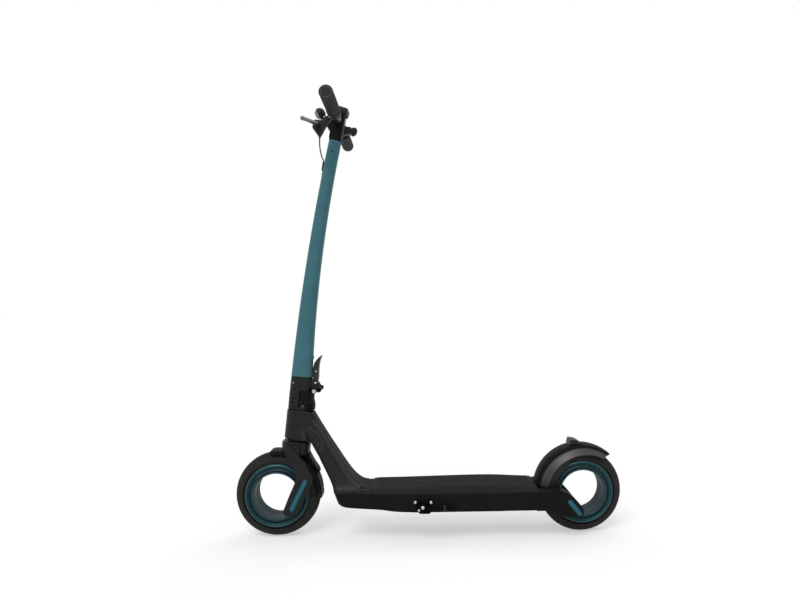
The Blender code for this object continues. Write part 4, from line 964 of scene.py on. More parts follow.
def crown():
    """The fork's crown with the lip in front of the head, and the seal on it."""
    loops = []
    for height, less in ((-0.0300, 0.0), (-0.0180, 0.0), (-0.0030, 0.0), (-0.0012, 0.0008),
                         (-0.0003, 0.0022), (0.0, 0.0040)):
        loops.append(column_loop(less - 0.0368, CROWN_BACK - less / 2, 0.0355 - less / 2,
                                 CROWN_CORNER, height, 10))
    cuts = [tool(rod(wheel_frame(FRONT_X), -0.06, 0.06, CROWN_R, 120)),
            tool(rod(STEER, -0.06, 0.01, STEERER_HOLE, 48))]
    lip = fillet([(-0.0376, -0.0100), (-0.0376, -0.0020), (-0.0362, -0.0006),
                  (-0.0300, -0.0002), (-0.0262, -0.0002), (-0.0240, -0.0100)], 0.0015, 4)
    lip = tool(skin([[column(b, across, h) for b, h in lip] for across in (-0.0345, 0.0345)]))
    inside = [column_loop(-0.0376, CROWN_BACK, 0.0352, CROWN_CORNER, h, 12)
              for h in (-0.02, 0.01)]
    carve(lip, [tool(skin(inside))], "INTERSECT")
    piece("fork_crown_body", skin(loops), "paint", "fork", ["fork_crown"],
          join=[lip], cut=cuts, bevel=0.0008, sharp=34)
    seal = [(0.0004, 0.0160), (0.0004, 0.0250), (0.0012, 0.0256), (0.0020, 0.0256),
            (0.0026, 0.0250), (0.0026, 0.0160)]
    turned("crown_seal", STEER, seal, 72, "rubber", "fork")


LEG_PAD = (FRONT_X + 0.0585, TYRE_R + 0.005)
LEG_PAD_TILT = 64.0


def fork_leg(side, sign):
    """One leg: its blade, the cover over it and the stripe in the cover's pocket."""
    blade = prism(leg_shape(LEG_BACK), *spread(sign, LEG_INNER, LEG_OUTER - 0.0036))
    piece(f"fork_leg_{side}_blade", blade, "paint", "fork",
          [f"fork_leg_{side}"], bevel=0.0018, segments=3, angle=40)
    cover = shrink(leg_shape(COVER_BACK), 0.0006)
    pocket = tool(prism(stadium(LEG_PAD, LEG_PAD_TILT, 0.0904, 0.0146),
                        *spread(sign, LEG_OUTER - 0.0008, LEG_OUTER + 0.002)))
    piece(f"fork_leg_{side}_cover", prism(cover, *spread(sign, LEG_OUTER - 0.0046, LEG_OUTER)),
          "paint", "fork", cut=[pocket], bevel=0.0016, segments=3, angle=40)
    stripe(f"fork_stripe_{side}", "fork", sign, LEG_OUTER, LEG_PAD, LEG_PAD_TILT, 0.0880)


def front_guard():
    """The front fender with a thicker lip at each end, and the ribbed stay behind it."""
    outer = TYRE_R + 0.0050
    section = [(0.0, outer), (0.0120, outer), (0.0205, outer - 0.0003), (0.0246, outer - 0.0014),
               (0.0264, outer - 0.0044), (0.0270, outer - 0.0098)]
    guard("front_fender_shell", FRONT_X, section, (99, -4), 60, 0.0018, "fork",
          ["front_fender"], finish="body")
    guard("front_fender_tip", FRONT_X, section, (99.6, 92.5), 6, 0.0028, "fork",
          lift=0.0004, finish="body")
    guard("front_fender_tail", FRONT_X, section, (1.0, -4.6), 6, 0.0028, "fork",
          lift=0.0008)
    back = spline(GUARD_BACK, 6)
    stay = arc((FRONT_X, TYRE_R), CROWN_R - SEAT - 0.0009, 60, 26.5, 16)
    stay += [(-0.2888, 0.1606)] + back[::-1] + [(-0.3300, 0.2330)]
    piece("fender_stay_block", prism(stay, -0.0150, 0.0150), "body", "fork",
          bevel=0.0016, segments=3)
    ribs = [tool(rod(wheel_frame(x - 0.0007, 0, z - 0.0004), -0.0156, 0.0156, 0.0013, 12))
            for x, z in back[8:-4:2]]
    merge("fender_stay_ribs", ribs, "plastic", "fork")


crown()
for side, sign in SIDES:
    fork_leg(side, sign)
front_guard()


# Frame

HEAD_FOOT = 0.0034

# The head's slices: height, front, rear and half width in the steering column's frame
HEAD_SLICES = (
    (HEAD_FOOT, -0.0258, 0.0300, 0.0262),
    (HEAD_FOOT + 0.0016, -0.0290, 0.0315, 0.0275),
    (HEAD_FOOT + 0.0052, -0.0345, 0.0315, 0.0280),
    (0.045, -0.0338, 0.0315, 0.0280),
    (HEAD_TOP - 0.0012, -0.0335, 0.0315, 0.0280),
    (HEAD_TOP, -0.0325, 0.0305, 0.0270),
)

# The neck's slices: share of the height from deck to head, front, rear and half width, with front
# and rear measured back from the front axle
NECK_SLICES = (
    (-0.050, 0.1475, 0.2430, 0.0565),
    (0.000, 0.1442, 0.2360, 0.0545),
    (0.030, 0.1420, 0.2180, 0.0500),
    (0.090, 0.1365, 0.2020, 0.0452),
    (0.185, 0.1268, 0.1862, 0.0405),
    (0.320, 0.1128, 0.1685, 0.0365),
    (0.430, 0.1022, 0.1550, 0.0340),
    (0.540, 0.0898, 0.1415, 0.0315),
    (0.630, 0.0775, 0.1305, 0.0300),
    (0.735, 0.0640, 0.1180, 0.0290),
    (0.862, 0.0640, 0.1030, 0.0275),
    (0.985, 0.0640, 0.0890, 0.0250),
)

# What is turned away below the casting, round the steering axis: (height, radius)
FOOT_RELIEF = ((-0.0900, 0.0900), (-0.0594, 0.0760), (-0.0458, 0.0652), (-0.0335, 0.0568),
               (-0.0262, 0.0530), (-0.0120, 0.0478), (-0.0020, 0.0463),
               (HEAD_FOOT - 0.001, 0.0432))

# The seam along the neck's rear corners: the part of its height that it runs over, and its shape
SEAM_REACH = (0.04, 0.80)
SEAM_SHAPE = ((1, 0), (0.5, 0.87), (-0.5, 0.87), (-1, 0), (-0.5, -0.87), (0.5, -0.87))


# How far sideways a face has to look to belong to the flat bands beside the neck's back
BAND_TURN = 0.40


def neck_band(deep):
    """The width of the flat band on the neck's rear corners."""
    return min(0.013, 0.30 * deep)


def neck_section(front, rear, half, z):
    """A slice of the neck: round in front, with a flat band chamfered off each rear corner."""
    deep = rear - front
    nose = min(0.020, 0.42 * deep, 0.8 * half)
    band = neck_band(deep)
    inset = half - 0.62 * band
    points = [(front, half, nose), (rear - band, half, 0.0030), (rear, inset, 0.0045),
              (rear, -inset, 0.0045), (rear - band, -half, 0.0030), (front, -half, nose)]
    return [Vector((x, y, z)) for x, y in fillet(points, 0.004, 9)]


def casting():
    """The head tube and the neck, cast as one with soft fillets."""
    loops = [column_loop(front, rear, half, 0.024, height, 12)
             for height, front, rear, half in HEAD_SLICES]
    head = new_object("head_casting", skin(loops), FINISH["paint"])
    head_z = column(0.0315, 0, HEAD_TOP).z
    foot_z = DECK_TOP + SEAT
    loops = []
    seams = ([], [])
    for share, front, rear, half in spline(NECK_SLICES, 4):
        z = mix(foot_z, head_z, share)
        loops.append(neck_section(FRONT_X + front, FRONT_X + rear, half, z))
        if SEAM_REACH[0] < share < SEAM_REACH[1]:
            corner = FRONT_X + rear - neck_band(rear - front)
            for sign, seam in zip(SIGNS, seams):
                seam.append([Vector((corner + 0.0022 * c, sign * (half - 0.0008) + 0.0016 * s, z))
                             for c, s in SEAM_SHAPE])
    carve(head, [tool(skin(loops))], "UNION")
    carve(head, [tool(lathe(STEER, FOOT_RELIEF, 96, closed=False))])
    net = head.modifiers.new("net", "REMESH")
    net.mode = "VOXEL"
    net.voxel_size = 0.0016
    net.use_smooth_shade = True
    even = head.modifiers.new("even", "SMOOTH")
    even.factor = 0.5
    even.iterations = 7
    settle(head)
    shape_boss(head)
    carve(head, [tool(rod(STEER, HEAD_FOOT - 0.02, HEAD_TOP + 0.02, 0.0186, 48)),
                 tool(slab_box((-0.5, 0.0), 0.2, (0.0, foot_z - 0.0090)))])
    carve(head, [tool(skin(seam)) for seam in seams])
    settle(head, 40)
    # Painted shade on the neck's back and foot, and painted light on the bands beside its back
    two_tone(head, "black", lambda n, c: abs(n.y) < BAND_TURN and n.z > 0.10
             and (n.x > 0.40 or (n.z > 0.60 and c.z < 0.16)))
    # Painted highlight: the bands beside the neck's back get a lighter black
    two_tone(head, "painted_light_band",
             lambda n, c: n.x > 0.22 and abs(n.y) >= BAND_TURN and c.z < 0.30)
    place(head, "frame", ["head_tube", "neck"])


def slab_box(across_x, half, across_z):
    """A plain block, for cutting."""
    return slab(corners(across_x, (-half, half)), *across_z)


# The arched boss over the crown, an oval in the column's frame, and the valley round it
BOSS_BACK = 0.0262
BOSS_SIZE = (0.0340, 0.0330)
BOSS_LIFT = 0.0027


def shape_boss(head):
    """Lifts the arched boss over the crown and sinks the valley behind it."""
    for vertex in head.data.vertices:
        back, across, height = STEER.inverted() @ vertex.co
        if abs(across) < 0.010 or not -0.045 < back < 0.070:
            continue
        arch = math.hypot((back - BOSS_BACK) / BOSS_SIZE[0], height / BOSS_SIZE[1])
        lift = BOSS_LIFT * (1 - smoothstep(0.94, 1.0, arch))
        deep = 0.0012 + 0.0016 * smoothstep(0.020, 0.045, back)
        lift -= deep * smoothstep(0.98, 1.04, arch) * (1 - smoothstep(1.08, 1.30, arch))
        fade = smoothstep(0.012, 0.020, abs(across))
        vertex.co.y += math.copysign(lift * fade, across)


# The slope along the deck's top edges, and the drop of the edge itself
DECK_SLOPE = 0.0150
DECK_EDGE = 0.0064

# The tray's slices: place behind the front axle, share of the depth, half width, forward lean
TRAY_NOSE = 0.1440
TRAY_SLICES = (
    (TRAY_NOSE, 0.75, 0.0437, 0.40),
    (TRAY_NOSE + 0.004, 0.77, 0.0470, 0.38),
    (TRAY_NOSE + 0.011, 0.82, 0.0510, 0.34),
    (TRAY_NOSE + 0.030, 0.84, 0.0568, 0.20),
    (TRAY_NOSE + 0.065, 0.85, 0.0626, 0.0),
    (TRAY_NOSE + 0.120, 0.88, 0.0692, 0.0),
    (TRAY_NOSE + 0.200, 1.0, DECK_HALF, 0.0),
    (DECK_END - 0.085, 1.0, DECK_HALF, 0.0),
    (DECK_END - 0.030, 1.0, DECK_HALF, 0.0),
    (DECK_END, 1.0, ARM_OUTER + 0.00005, 0.0),
)
TRAY_WALL = 0.0035
BATTERY_BAY = 0.347


def tray_loop(x, depth, half, lean):
    """A slice of the tray: a chamfer along its top edges and rounder corners below."""
    top = DECK_TOP
    low = top - depth * DECK_DEPTH
    flat = fillet([(half - DECK_SLOPE, top, 0.0060), (half, top - DECK_EDGE, 0.0016),
                   (half, low, 0.0065), (-half, low, 0.0065), (-half, top - DECK_EDGE, 0.0016),
                   (-half + DECK_SLOPE, top, 0.0060)], 0.002, 5)
    return [Vector((FRONT_X + x + lean * (top - z), y, z)) for y, z in flat]


def deck():
    """The tray with its grooves and socket hole, the mat and the cover's screws."""
    loops = [tray_loop(*row) for row in spline(TRAY_SLICES, 6)]
    bay = (FRONT_X + BATTERY_BAY, FRONT_X + DECK_END - TRAY_WALL)
    cuts = [tool(slab_box(bay, DECK_HALF - TRAY_WALL, (0.04, DECK_TOP - TRAY_WALL))),
            tool(rod(wheel_frame(PORT_X, 0, PORT_Z), DECK_HALF - 0.02, DECK_HALF + 0.01,
                     0.0081, 40))]
    line = corners((FRONT_X + 0.236, FRONT_X + DECK_END + 0.01), GROOVE_Z)
    for sign in SIGNS:
        cuts.append(tool(prism(line, *spread(sign, DECK_HALF - 0.0007, DECK_HALF + 0.004))))
    tray = piece("deck_tray_shell", skin(loops), "body", "frame", ["deck_tray"],
                 cut=cuts, sharp=30)
    two_tone(tray, "mat", lambda n, c: n.z > 0.60)
    mat()
    screws("deck_cover_screws",
           [((x, sign * 0.0635, 0.0735), (0, 0, -1), 0.0030, 0.0011)
            for x in (-0.035, 0.030, 0.095, 0.150, 0.178) for sign in SIGNS],
           "frame")


# The mat's raised diamonds: their pitch, and their reach at the foot and at the top
STUD_PITCH = 0.0105
STUD_SIZES = (0.0044, 0.0034)


def mat():
    """The rubber mat with its raised diamonds and plain border."""
    low_x = FRONT_X + 0.2445
    high_x = FRONT_X + DECK_END - 0.0012
    half = DECK_HALF - 0.0008
    loops = []
    for i in range(61):
        share = i / 60
        x = mix(low_x, high_x, share)
        near = min(x - low_x, high_x - x)
        wide = half - 0.0060 * (1 - min(1.0, near / 0.0060)) ** 2
        thin = 0.0006 * (1 - min(1.0, near / 0.0020))
        loop = []
        for k in range(25):
            y = wide * math.sin(math.radians(-90 + 7.5 * k))
            loop.append(Vector((x, y, mat_top(x, y) - thin)))
        loop += [Vector((x, y * wide, mat_top(x, y * wide) - 0.0022)) for y in
                 (1.0, 0.8, 0.5, 0.0, -0.5, -0.8, -1.0)]
        loops.append(loop)
    build = skin(loops)
    inner = half - 0.0110
    columns = int((high_x - low_x - 0.016) / (STUD_PITCH / 2))
    rows = int(2 * inner / (STUD_PITCH / 2))
    start_x = (low_x + high_x) / 2 - columns * STUD_PITCH / 4
    for i in range(columns + 1):
        for j in range(rows + 1):
            if (i + j) % 2:
                continue
            x = start_x + i * STUD_PITCH / 2
            y = -rows * STUD_PITCH / 4 + j * STUD_PITCH / 2
            if min(x - low_x, high_x - x) - 0.0070 >= 0.002:
                add_diamond(build, x, y, *STUD_SIZES)
    piece("deck_mat_tread", build, "mat", "frame", ["deck_mat"], sharp=24)


def mat_top(x, y):
    """The mat's upper surface: bowed along the deck and dropping towards its sides."""
    bow = 0.0050 * smoothstep(-0.15, 0.15, x) * (1 - smoothstep(0.15, 0.275, x))
    edge = max(0.0, abs(y) - DECK_HALF + DECK_SLOPE + 0.0080) / (DECK_SLOPE + 0.0080)
    return DECK_TOP + 0.0030 + bow - (0.0084 + bow) * edge ** 1.6


def add_diamond(build, x, y, wide, narrow):
    """A low four-sided stud on the mat, closed below."""
    rings = []
    for lift, size in ((-0.0006, wide), (0.0005, narrow)):
        ring = []
        for c, s in ((1, 0), (0, 1), (-1, 0), (0, -1)):
            u = x + size * c
            v = y + 0.80 * size * s
            ring.append(build.verts.new((u, v, mat_top(u, v) + lift)))
        rings.append(ring)
    for k in range(4):
        m = (k + 1) % 4
        build.faces.new((rings[0][k], rings[0][m], rings[1][m], rings[1][k]))
    build.faces.new(rings[1])
    build.faces.new(rings[0][::-1])


# The rear arm's edge round the wheel, measured from the axle, and the pad on its outer face
ARM_EDGE = ((-0.0495, 0.0095), (-0.0340, -0.0010), (-0.0235, -0.0123), (-0.0122, -0.0247),
            (-0.0074, -0.0364), (-0.0077, -0.0441), (-0.0156, -0.0514), (-0.0288, -0.0529),
            (-0.0524, -0.0507), (-0.0759, -0.0439))
ARM_PAD = (REAR_X - 0.0307, TYRE_R - 0.0279)
ARM_PAD_TILT = -50.6

# The skirt's inner edge round the rear axle: (degrees, radius)
SKIRT_EDGE = ((113, 0.0826), (122, 0.0812), (131, 0.0798), (147, 0.0770), (161, 0.0738),
              (175, 0.0720), (186, 0.0715))


def rear_arms():
    """The two arms that hold the rear wheel's sleeve."""
    top = DECK_TOP - 0.0055
    low = DECK_TOP - DECK_DEPTH
    front = FRONT_X + DECK_END - 0.0060
    outline = [(front, top - 0.0006, 0.0), (REAR_X - 0.1180, top, 0.030)]
    outline += [(REAR_X - 0.0720, top + 0.0040, 0.016)]
    outline += [(REAR_X + x, TYRE_R + z, 0.012) for x, z in ARM_EDGE]
    outline += [(REAR_X - 0.0980, low, 0.010), (front, low, 0.0)]
    outline = fillet(outline, 0.01, 5)
    line = corners((front - 0.01, REAR_X - 0.0900), GROOVE_Z)
    skirt = [(REAR_X + r * math.cos(a), TYRE_R + r * math.sin(a))
             for a, r in ((math.radians(degrees), r) for degrees, r in SKIRT_EDGE)]
    skirt += arc((REAR_X, TYRE_R), 0.0950, 186, 113, 18)
    for side, sign in SIDES:
        pocket = tool(prism(stadium(ARM_PAD, ARM_PAD_TILT, 0.0524, 0.0146),
                            *spread(sign, ARM_OUTER - 0.0008, ARM_OUTER + 0.002)))
        groove = tool(prism(line, *spread(sign, ARM_OUTER - 0.0006, ARM_OUTER + 0.004)))
        piece(f"rear_arm_{side}_body", prism(outline, *spread(sign, LEG_INNER, ARM_OUTER)),
              "body", "frame", [f"rear_arm_{side}"], cut=[pocket, groove],
              bevel=0.0030, segments=3, angle=50, sharp=34)
        stripe(f"rear_stripe_{side}", "frame", sign, ARM_OUTER, ARM_PAD, ARM_PAD_TILT, 0.0500)
        piece(f"rear_skirt_{side}", prism(skirt, *spread(sign, 0.0338, 0.0356)), "plastic",
              "frame", bevel=0.0005, segments=2)


# Half the rear fender's section: share of its half width, and depth below the crest
FENDER_HALF = 0.0378
FENDER_SECTION = ((0.0, 0.0), (0.28, 0.0005), (0.50, 0.0020), (0.62, 0.0046), (0.665, 0.0082),
                  (0.700, 0.0126), (0.770, 0.0176), (0.870, 0.0226), (0.965, 0.0272),
                  (1.0, 0.0292), (1.0, 0.0312))


def rear_guard():
    """The rear fender, with a raised crest in the frame's paint; the shell's sides are a lighter
    black, a painted highlight.
    """
    section = [(share * FENDER_HALF, REAR_FENDER_R - drop) for share, drop in FENDER_SECTION]
    guard("rear_fender_shell", REAR_X, section, (172.2, 51.3), 84, 0.0022, "frame",
          ["rear_fender"], lag=10.0, taper=0.34, finish="flare")
    guard("rear_fender_crest", REAR_X, section[:6], (171.9, 51.2), 84, 0.0016, "frame",
          lift=0.0007, lag=10.0, taper=0.34, finish="body")


def tail_lamp():
    """The lamp on the rear fender's crest."""
    axle = (REAR_X, TYRE_R)
    foot_r = REAR_FENDER_R + SEAT + 0.0003
    crest = TYRE_R + REAR_FENDER_R
    body = arc(axle, foot_r, 104.6, 94.8, 8)
    body += [(REAR_X - 0.0095, crest + 0.0090), (REAR_X - 0.0275, crest + 0.0115)]
    inset = [(REAR_X - 0.0262, crest + 0.0084), (REAR_X - 0.0125, crest + 0.0066),
             (REAR_X - 0.0140, crest + 0.0022), (REAR_X - 0.0275, crest + 0.0005)]
    cuts = [tool(prism(inset, *spread(sign, 0.0200, 0.0240))) for sign in SIGNS]
    piece("tail_lamp_body", prism(body, -0.0210, 0.0210), "plastic", "frame",
          ["tail_lamp"], cut=cuts, bevel=0.0014, segments=3)
    glass = arc(axle, foot_r, 94.5, 88.0, 6)
    glass += [(REAR_X + 0.0015, crest + 0.0025), (REAR_X - 0.0090, crest + 0.0087)]
    face = [(REAR_X + 0.0025, crest + 0.0015), (REAR_X - 0.0090, crest + 0.0080),
            (REAR_X - 0.0060, crest + 0.0130), (REAR_X + 0.0060, crest + 0.0090)]
    slots = [tool(prism(face, *around(-0.0150 + 0.00375 * i, 0.0004))) for i in range(9)]
    piece("tail_lens_glass", prism(glass, -0.0185, 0.0185), "red", "frame",
          ["tail_lens"], cut=slots, bevel=0.0006, segments=2)


def port():
    """The charging socket and its hinged cap."""
    at = wheel_frame(PORT_X, 0, PORT_Z)
    wall = DECK_HALF
    cup = [(wall - 0.0070, 0.0078), (wall - 0.0004, 0.0078), (wall, 0.0074), (wall, 0.0060),
           (wall - 0.0004, 0.0056), (wall - 0.0060, 0.0056)]
    turned("charge_port_cup", at, cup, 48, "plastic", "frame", ["charge_port"],
           closed=False)
    pin = [(wall - 0.0061, 0.0013), (wall - 0.0020, 0.0013), (wall - 0.0015, 0.0009)]
    turned("charge_port_pin", at, pin, 20, "bolt", "frame", closed=False)
    flat = box_loop(0.0125, 0.0110, 0.004, 8, (PORT_X, PORT_Z))
    small = box_loop(0.0117, 0.0102, 0.0036, 8, (PORT_X, PORT_Z))
    rows = ((wall + 0.0004, flat), (wall + 0.0024, flat), (wall + 0.0032, small))
    build = skin([[Vector((x, y, z)) for x, z in loop] for y, loop in rows])
    finger_rib = box_loop(0.0050, 0.0010, 0.0008, 3, (PORT_X, 0.0925))
    piece("charge_cap_flap", build, "rubber", "port_cap", ["charge_cap"],
          join=[tool(prism(finger_rib, wall + 0.0030, wall + 0.0040))], sharp=30)


# The kickstand: its tilt in degrees, the plate's thickness, the boss's height, and the plate's
# outline round the pivot
STAND_TILT = -20.0
STAND_PLATE = 0.0045
STAND_CAP = 0.0170
STAND_OUTLINE = ((-0.020, 0.022), (-0.010, 0.022), (0.002, 0.0145), (0.010, 0.0145),
                 (0.017, 0.022), (0.026, 0.022), (0.027, 0.014), (0.018, 0.006),
                 (0.024, -0.004), (0.018, -0.0125), (-0.006, -0.0125), (-0.018, -0.003),
                 (-0.0125, 0.008))

# The leg, as (place along it, radius), and the rubber ring in its foot's groove
SHANK = ((0.0092, 0.0036), (0.0470, 0.0034), (0.0482, 0.0056), (0.0496, 0.0074),
         (0.0590, 0.0074), (0.0604, 0.0056), (0.0612, 0.0038), (0.0716, 0.0036),
         (0.0724, 0.0058), (0.0800, 0.0056), (0.0808, 0.0044))
FOOT_RING = ((0.0518, 0.0075), (0.0523, 0.0080), (0.0563, 0.0080), (0.0568, 0.0075),
             (0.0568, 0.0064), (0.0518, 0.0064))

# Where the leg's ring starts on the pivot, and how thick it is
LEG_LOW = 0.0075
LEG_THICK = 0.0085


def kickstand():
    """Bracket with its bolts, and the leg with its rivet and rubber ring."""
    wall = -DECK_HALF - SEAT
    pivot = Vector((-0.0225, wall - 0.0030, 0.0848))
    turn = Matrix.Rotation(math.radians(STAND_TILT), 4, "X")
    at = Matrix.Translation(pivot) @ turn @ Matrix.Rotation(math.pi / 2, 4, "X")
    outline = fillet([(pivot.x + x, pivot.z + z) for x, z in STAND_OUTLINE], 0.003, 4)
    boss = tool(rod(at, 0.0005, STAND_CAP, 0.0075, 48))
    piece("kickstand_plate", prism(outline, wall - STAND_PLATE, wall), "black", "frame",
          ["kickstand_bracket"], join=[boss], bevel=0.0006, segments=2)
    screws("kickstand_bolts",
           [((pivot.x + x, wall - STAND_PLATE, pivot.z + z), (0, -1, 0), 0.0042, 0.0032)
            for x, z in ((-0.0183, 0.0170), (0.0209, 0.0163))], "frame")
    cap = at @ Matrix.Translation((0.0004, 0.0017, STAND_CAP))
    merge("kickstand_pivot_bolt", [screw_head(cap, 0.0044, 0.0024)], "bolt", "frame")
    ring = lathe(at, fillet([(LEG_LOW, 0.0078), (LEG_LOW, 0.0115), (LEG_LOW + LEG_THICK, 0.0115),
                             (LEG_LOW + LEG_THICK, 0.0078)], 0.0008, 3), 56)
    along = at @ Matrix.Translation((0, 0, LEG_LOW + LEG_THICK / 2))
    along = along @ Matrix.Rotation(math.pi / 2, 4, "Y")
    shank = tool(lathe(along, SHANK, 36, closed=False))
    piece("kickstand_leg_bar", ring, "black", "stand_leg",
          ["kickstand_leg"], join=[shank], sharp=34)
    rivet = at @ Matrix.Translation((-0.0091, -0.0042, LEG_LOW + 0.0086))
    merge("kickstand_leg_rivet", [screw_head(rivet, 0.0030, 0.0020)], "bolt", "stand_leg")
    turned("kickstand_foot_ring", along, FOOT_RING, 36, "rubber", "stand_leg")


casting()
deck()
rear_arms()
rear_guard()
tail_lamp()
port()
kickstand()


# Fold joint

PIN_FRAME = wheel_frame(PIN.x, 0, PIN.z)
BLOCK_TOP = PARTING - 0.0003
BLOCK_FRONT = 0.0315
BLOCK_HALF = 0.0255
BLOCK_CORNER = 0.020

# How far the cutters of the block's slots stand out of its side
PROUD = 0.002

# The hinge block's slices: height, how much smaller, and how far it reaches back
BLOCK_SLICES = ((BLOCK_LOW, 0.0013, 0.0362), (BLOCK_LOW + 0.0004, 0.0005, 0.0362),
                (BLOCK_LOW + 0.0014, 0.0, 0.0362), (0.0940, 0.0, 0.0360), (0.1010, 0.0, 0.0349),
                (0.1065, 0.0, 0.0331), (0.1115, 0.0, 0.0315), (BLOCK_TOP - 0.0010, 0.0, 0.0315),
                (BLOCK_TOP - 0.0003, 0.0004, 0.0315), (BLOCK_TOP, 0.0010, 0.0315))


def wrap_band(inner, outer, heights, backs, sign, rear=0.0315):
    """A part of a shell that follows the hinge block's sides, for a groove or a rib."""
    rings = []
    for grow, margin in ((outer, 0.0), (inner, 0.001)):
        loops = [column_loop(-BLOCK_FRONT - grow, rear + grow, BLOCK_HALF + grow,
                             BLOCK_CORNER + grow, h, 12)
                 for h in (heights[0] - margin, heights[1] + margin)]
        rings.append(tool(skin(loops)))
    carve(rings[0], [rings[1]])
    room = (heights[0] - 0.001, heights[1] + 0.001)
    carve(rings[0], [tool(column_block(backs, spread(sign, 0.004, 0.040), room))], "INTERSECT")
    return rings[0]


def lug(centre, radius, root, low, high):
    """A plate round a pivot, run back into the body that carries it."""
    facing = math.degrees(math.atan2(centre.z - root[1], centre.x - root[0]))
    outline = arc((centre.x, centre.z), radius, facing - 90, facing + 90, 18) + [root]
    return tool(prism(outline, low, high))


def block_bands(sign):
    """The grooves in one side of the hinge block, and the black strips that line some of them as
    painted shade.
    """
    cuts = [wrap_band(-0.0029, PROUD, (BLOCK_LOW + 0.0046, BLOCK_TOP + 0.001),
                      (-0.0036, -0.0006), sign)]
    strips = [wrap_band(-0.0031, -0.0010, (BLOCK_LOW + 0.0044, BLOCK_TOP - 0.0010),
                        (-0.0038, -0.0004), sign)]
    for height in (0.1033, 0.1109):
        cuts.append(wrap_band(-0.0020, PROUD, around(height, 0.0011), (-0.0262, -0.0112), sign))
        strips.append(wrap_band(-0.0022, -0.0008, around(height, 0.0012), (-0.0264, -0.0110),
                                sign))
    cuts.append(wrap_band(-0.0014, PROUD, (0.1033, 0.1109), (-0.0124, -0.0112), sign))
    for height in (0.0892, 0.0962, 0.1180, 0.1246):
        cuts.append(wrap_band(-0.0009, PROUD, around(height, 0.0006), (-0.0290, -0.0060), sign))
    for height in (0.0898, 0.0962):
        cuts.append(wrap_band(-0.0024, PROUD, around(height, 0.0015), (0.0122, 0.0302), sign,
                              0.0358))
        strips.append(wrap_band(-0.0026, -0.0009, around(height, 0.0016), (0.0120, 0.0304), sign,
                                0.0358))
    cuts.append(wrap_band(-0.0006, PROUD, (0.0990, BLOCK_TOP - 0.0040), (0.0030, 0.0038), sign))
    return cuts, strips


def hinge_block():
    """The block on the steerer, with its ribbed panel, slots, ears and pin."""
    loops = [column_loop(less - BLOCK_FRONT, rear - less, BLOCK_HALF - less,
                         BLOCK_CORNER - less, height, 12)
             for height, less, rear in BLOCK_SLICES]
    root = column_point(PIN_BACK - 0.0104, PARTING - 0.012)
    ears = []
    groove_shade = []
    cuts = [tool(rod(STEER, BLOCK_LOW - 0.01, BLOCK_LOW + 0.028, STEERER_HOLE, 48)),
            tool(rod(PIN_FRAME, -0.0116, 0.0116, KNUCKLE_R, 48)),
            tool(rod(PIN_FRAME, -0.04, 0.04, PIN_HOLE, 28))]
    for sign in SIGNS:
        ears.append(lug(PIN, EAR_R, root, *spread(sign, 0.0116, 0.0220)))
        grooves, strips = block_bands(sign)
        cuts += grooves
        groove_shade += strips
    block = piece("hinge_block_body", skin(loops), "paint", "fork",
                  ["hinge_block"], join=ears, cut=cuts, sharp=32)
    split_x = column(0.0010, 0, 0.110).x
    two_tone(block, "body", lambda n, c: c.x > split_x)
    # Black strips in the deeper grooves: painted shade
    merge("hinge_block_groove_shade", groove_shade, "black", "fork")
    spots = []
    for sign in SIGNS:
        spots.append((column(0.0084, sign * 0.0254, 0.0938), (0, sign, 0), 0.0019, 0.0008))
        spots.append((column(-0.0140, sign * 0.0252, 0.1071), (0, sign, 0), 0.0011, 0.0006))
    screws("hinge_block_screws", spots, "fork", "case")
    shape = doubled([(-0.0242, 0.0042), (-0.0240, 0.0048), (-0.0235, 0.0050),
                     (-0.0223, 0.0050), (-0.0223, 0.0030)])
    sockets = [tool(rod(PIN_FRAME, *spread(sign, 0.0229, 0.0260), 0.0026, 6)) for sign in SIGNS]
    piece("hinge_pin_bolt", lathe(PIN_FRAME, shape, 40, closed=False), "bolt", "fork",
          ["hinge_pin"], cut=sockets, sharp=30)
    cover = [(HEAD_TOP + 0.0004, 0.0160), (HEAD_TOP + 0.0004, 0.0235),
             (BLOCK_LOW - 0.0002, 0.0235), (BLOCK_LOW - 0.0002, 0.0160)]
    turned("headset_cover", STEER, cover, 64, "rubber", "fork")


# The collar's slices: share of its height, and how much smaller
COLLAR_SLICES = ((0.0, 0.0010), (0.01, 0.0003), (0.03, 0.0), (0.30, 0.0), (0.60, 0.0),
                 (0.905, 0.0), (0.915, 0.0007), (0.94, 0.0007), (0.95, 0.0), (0.985, 0.0),
                 (1.0, 0.0005))
CHEEK_PIN_R = 0.0021


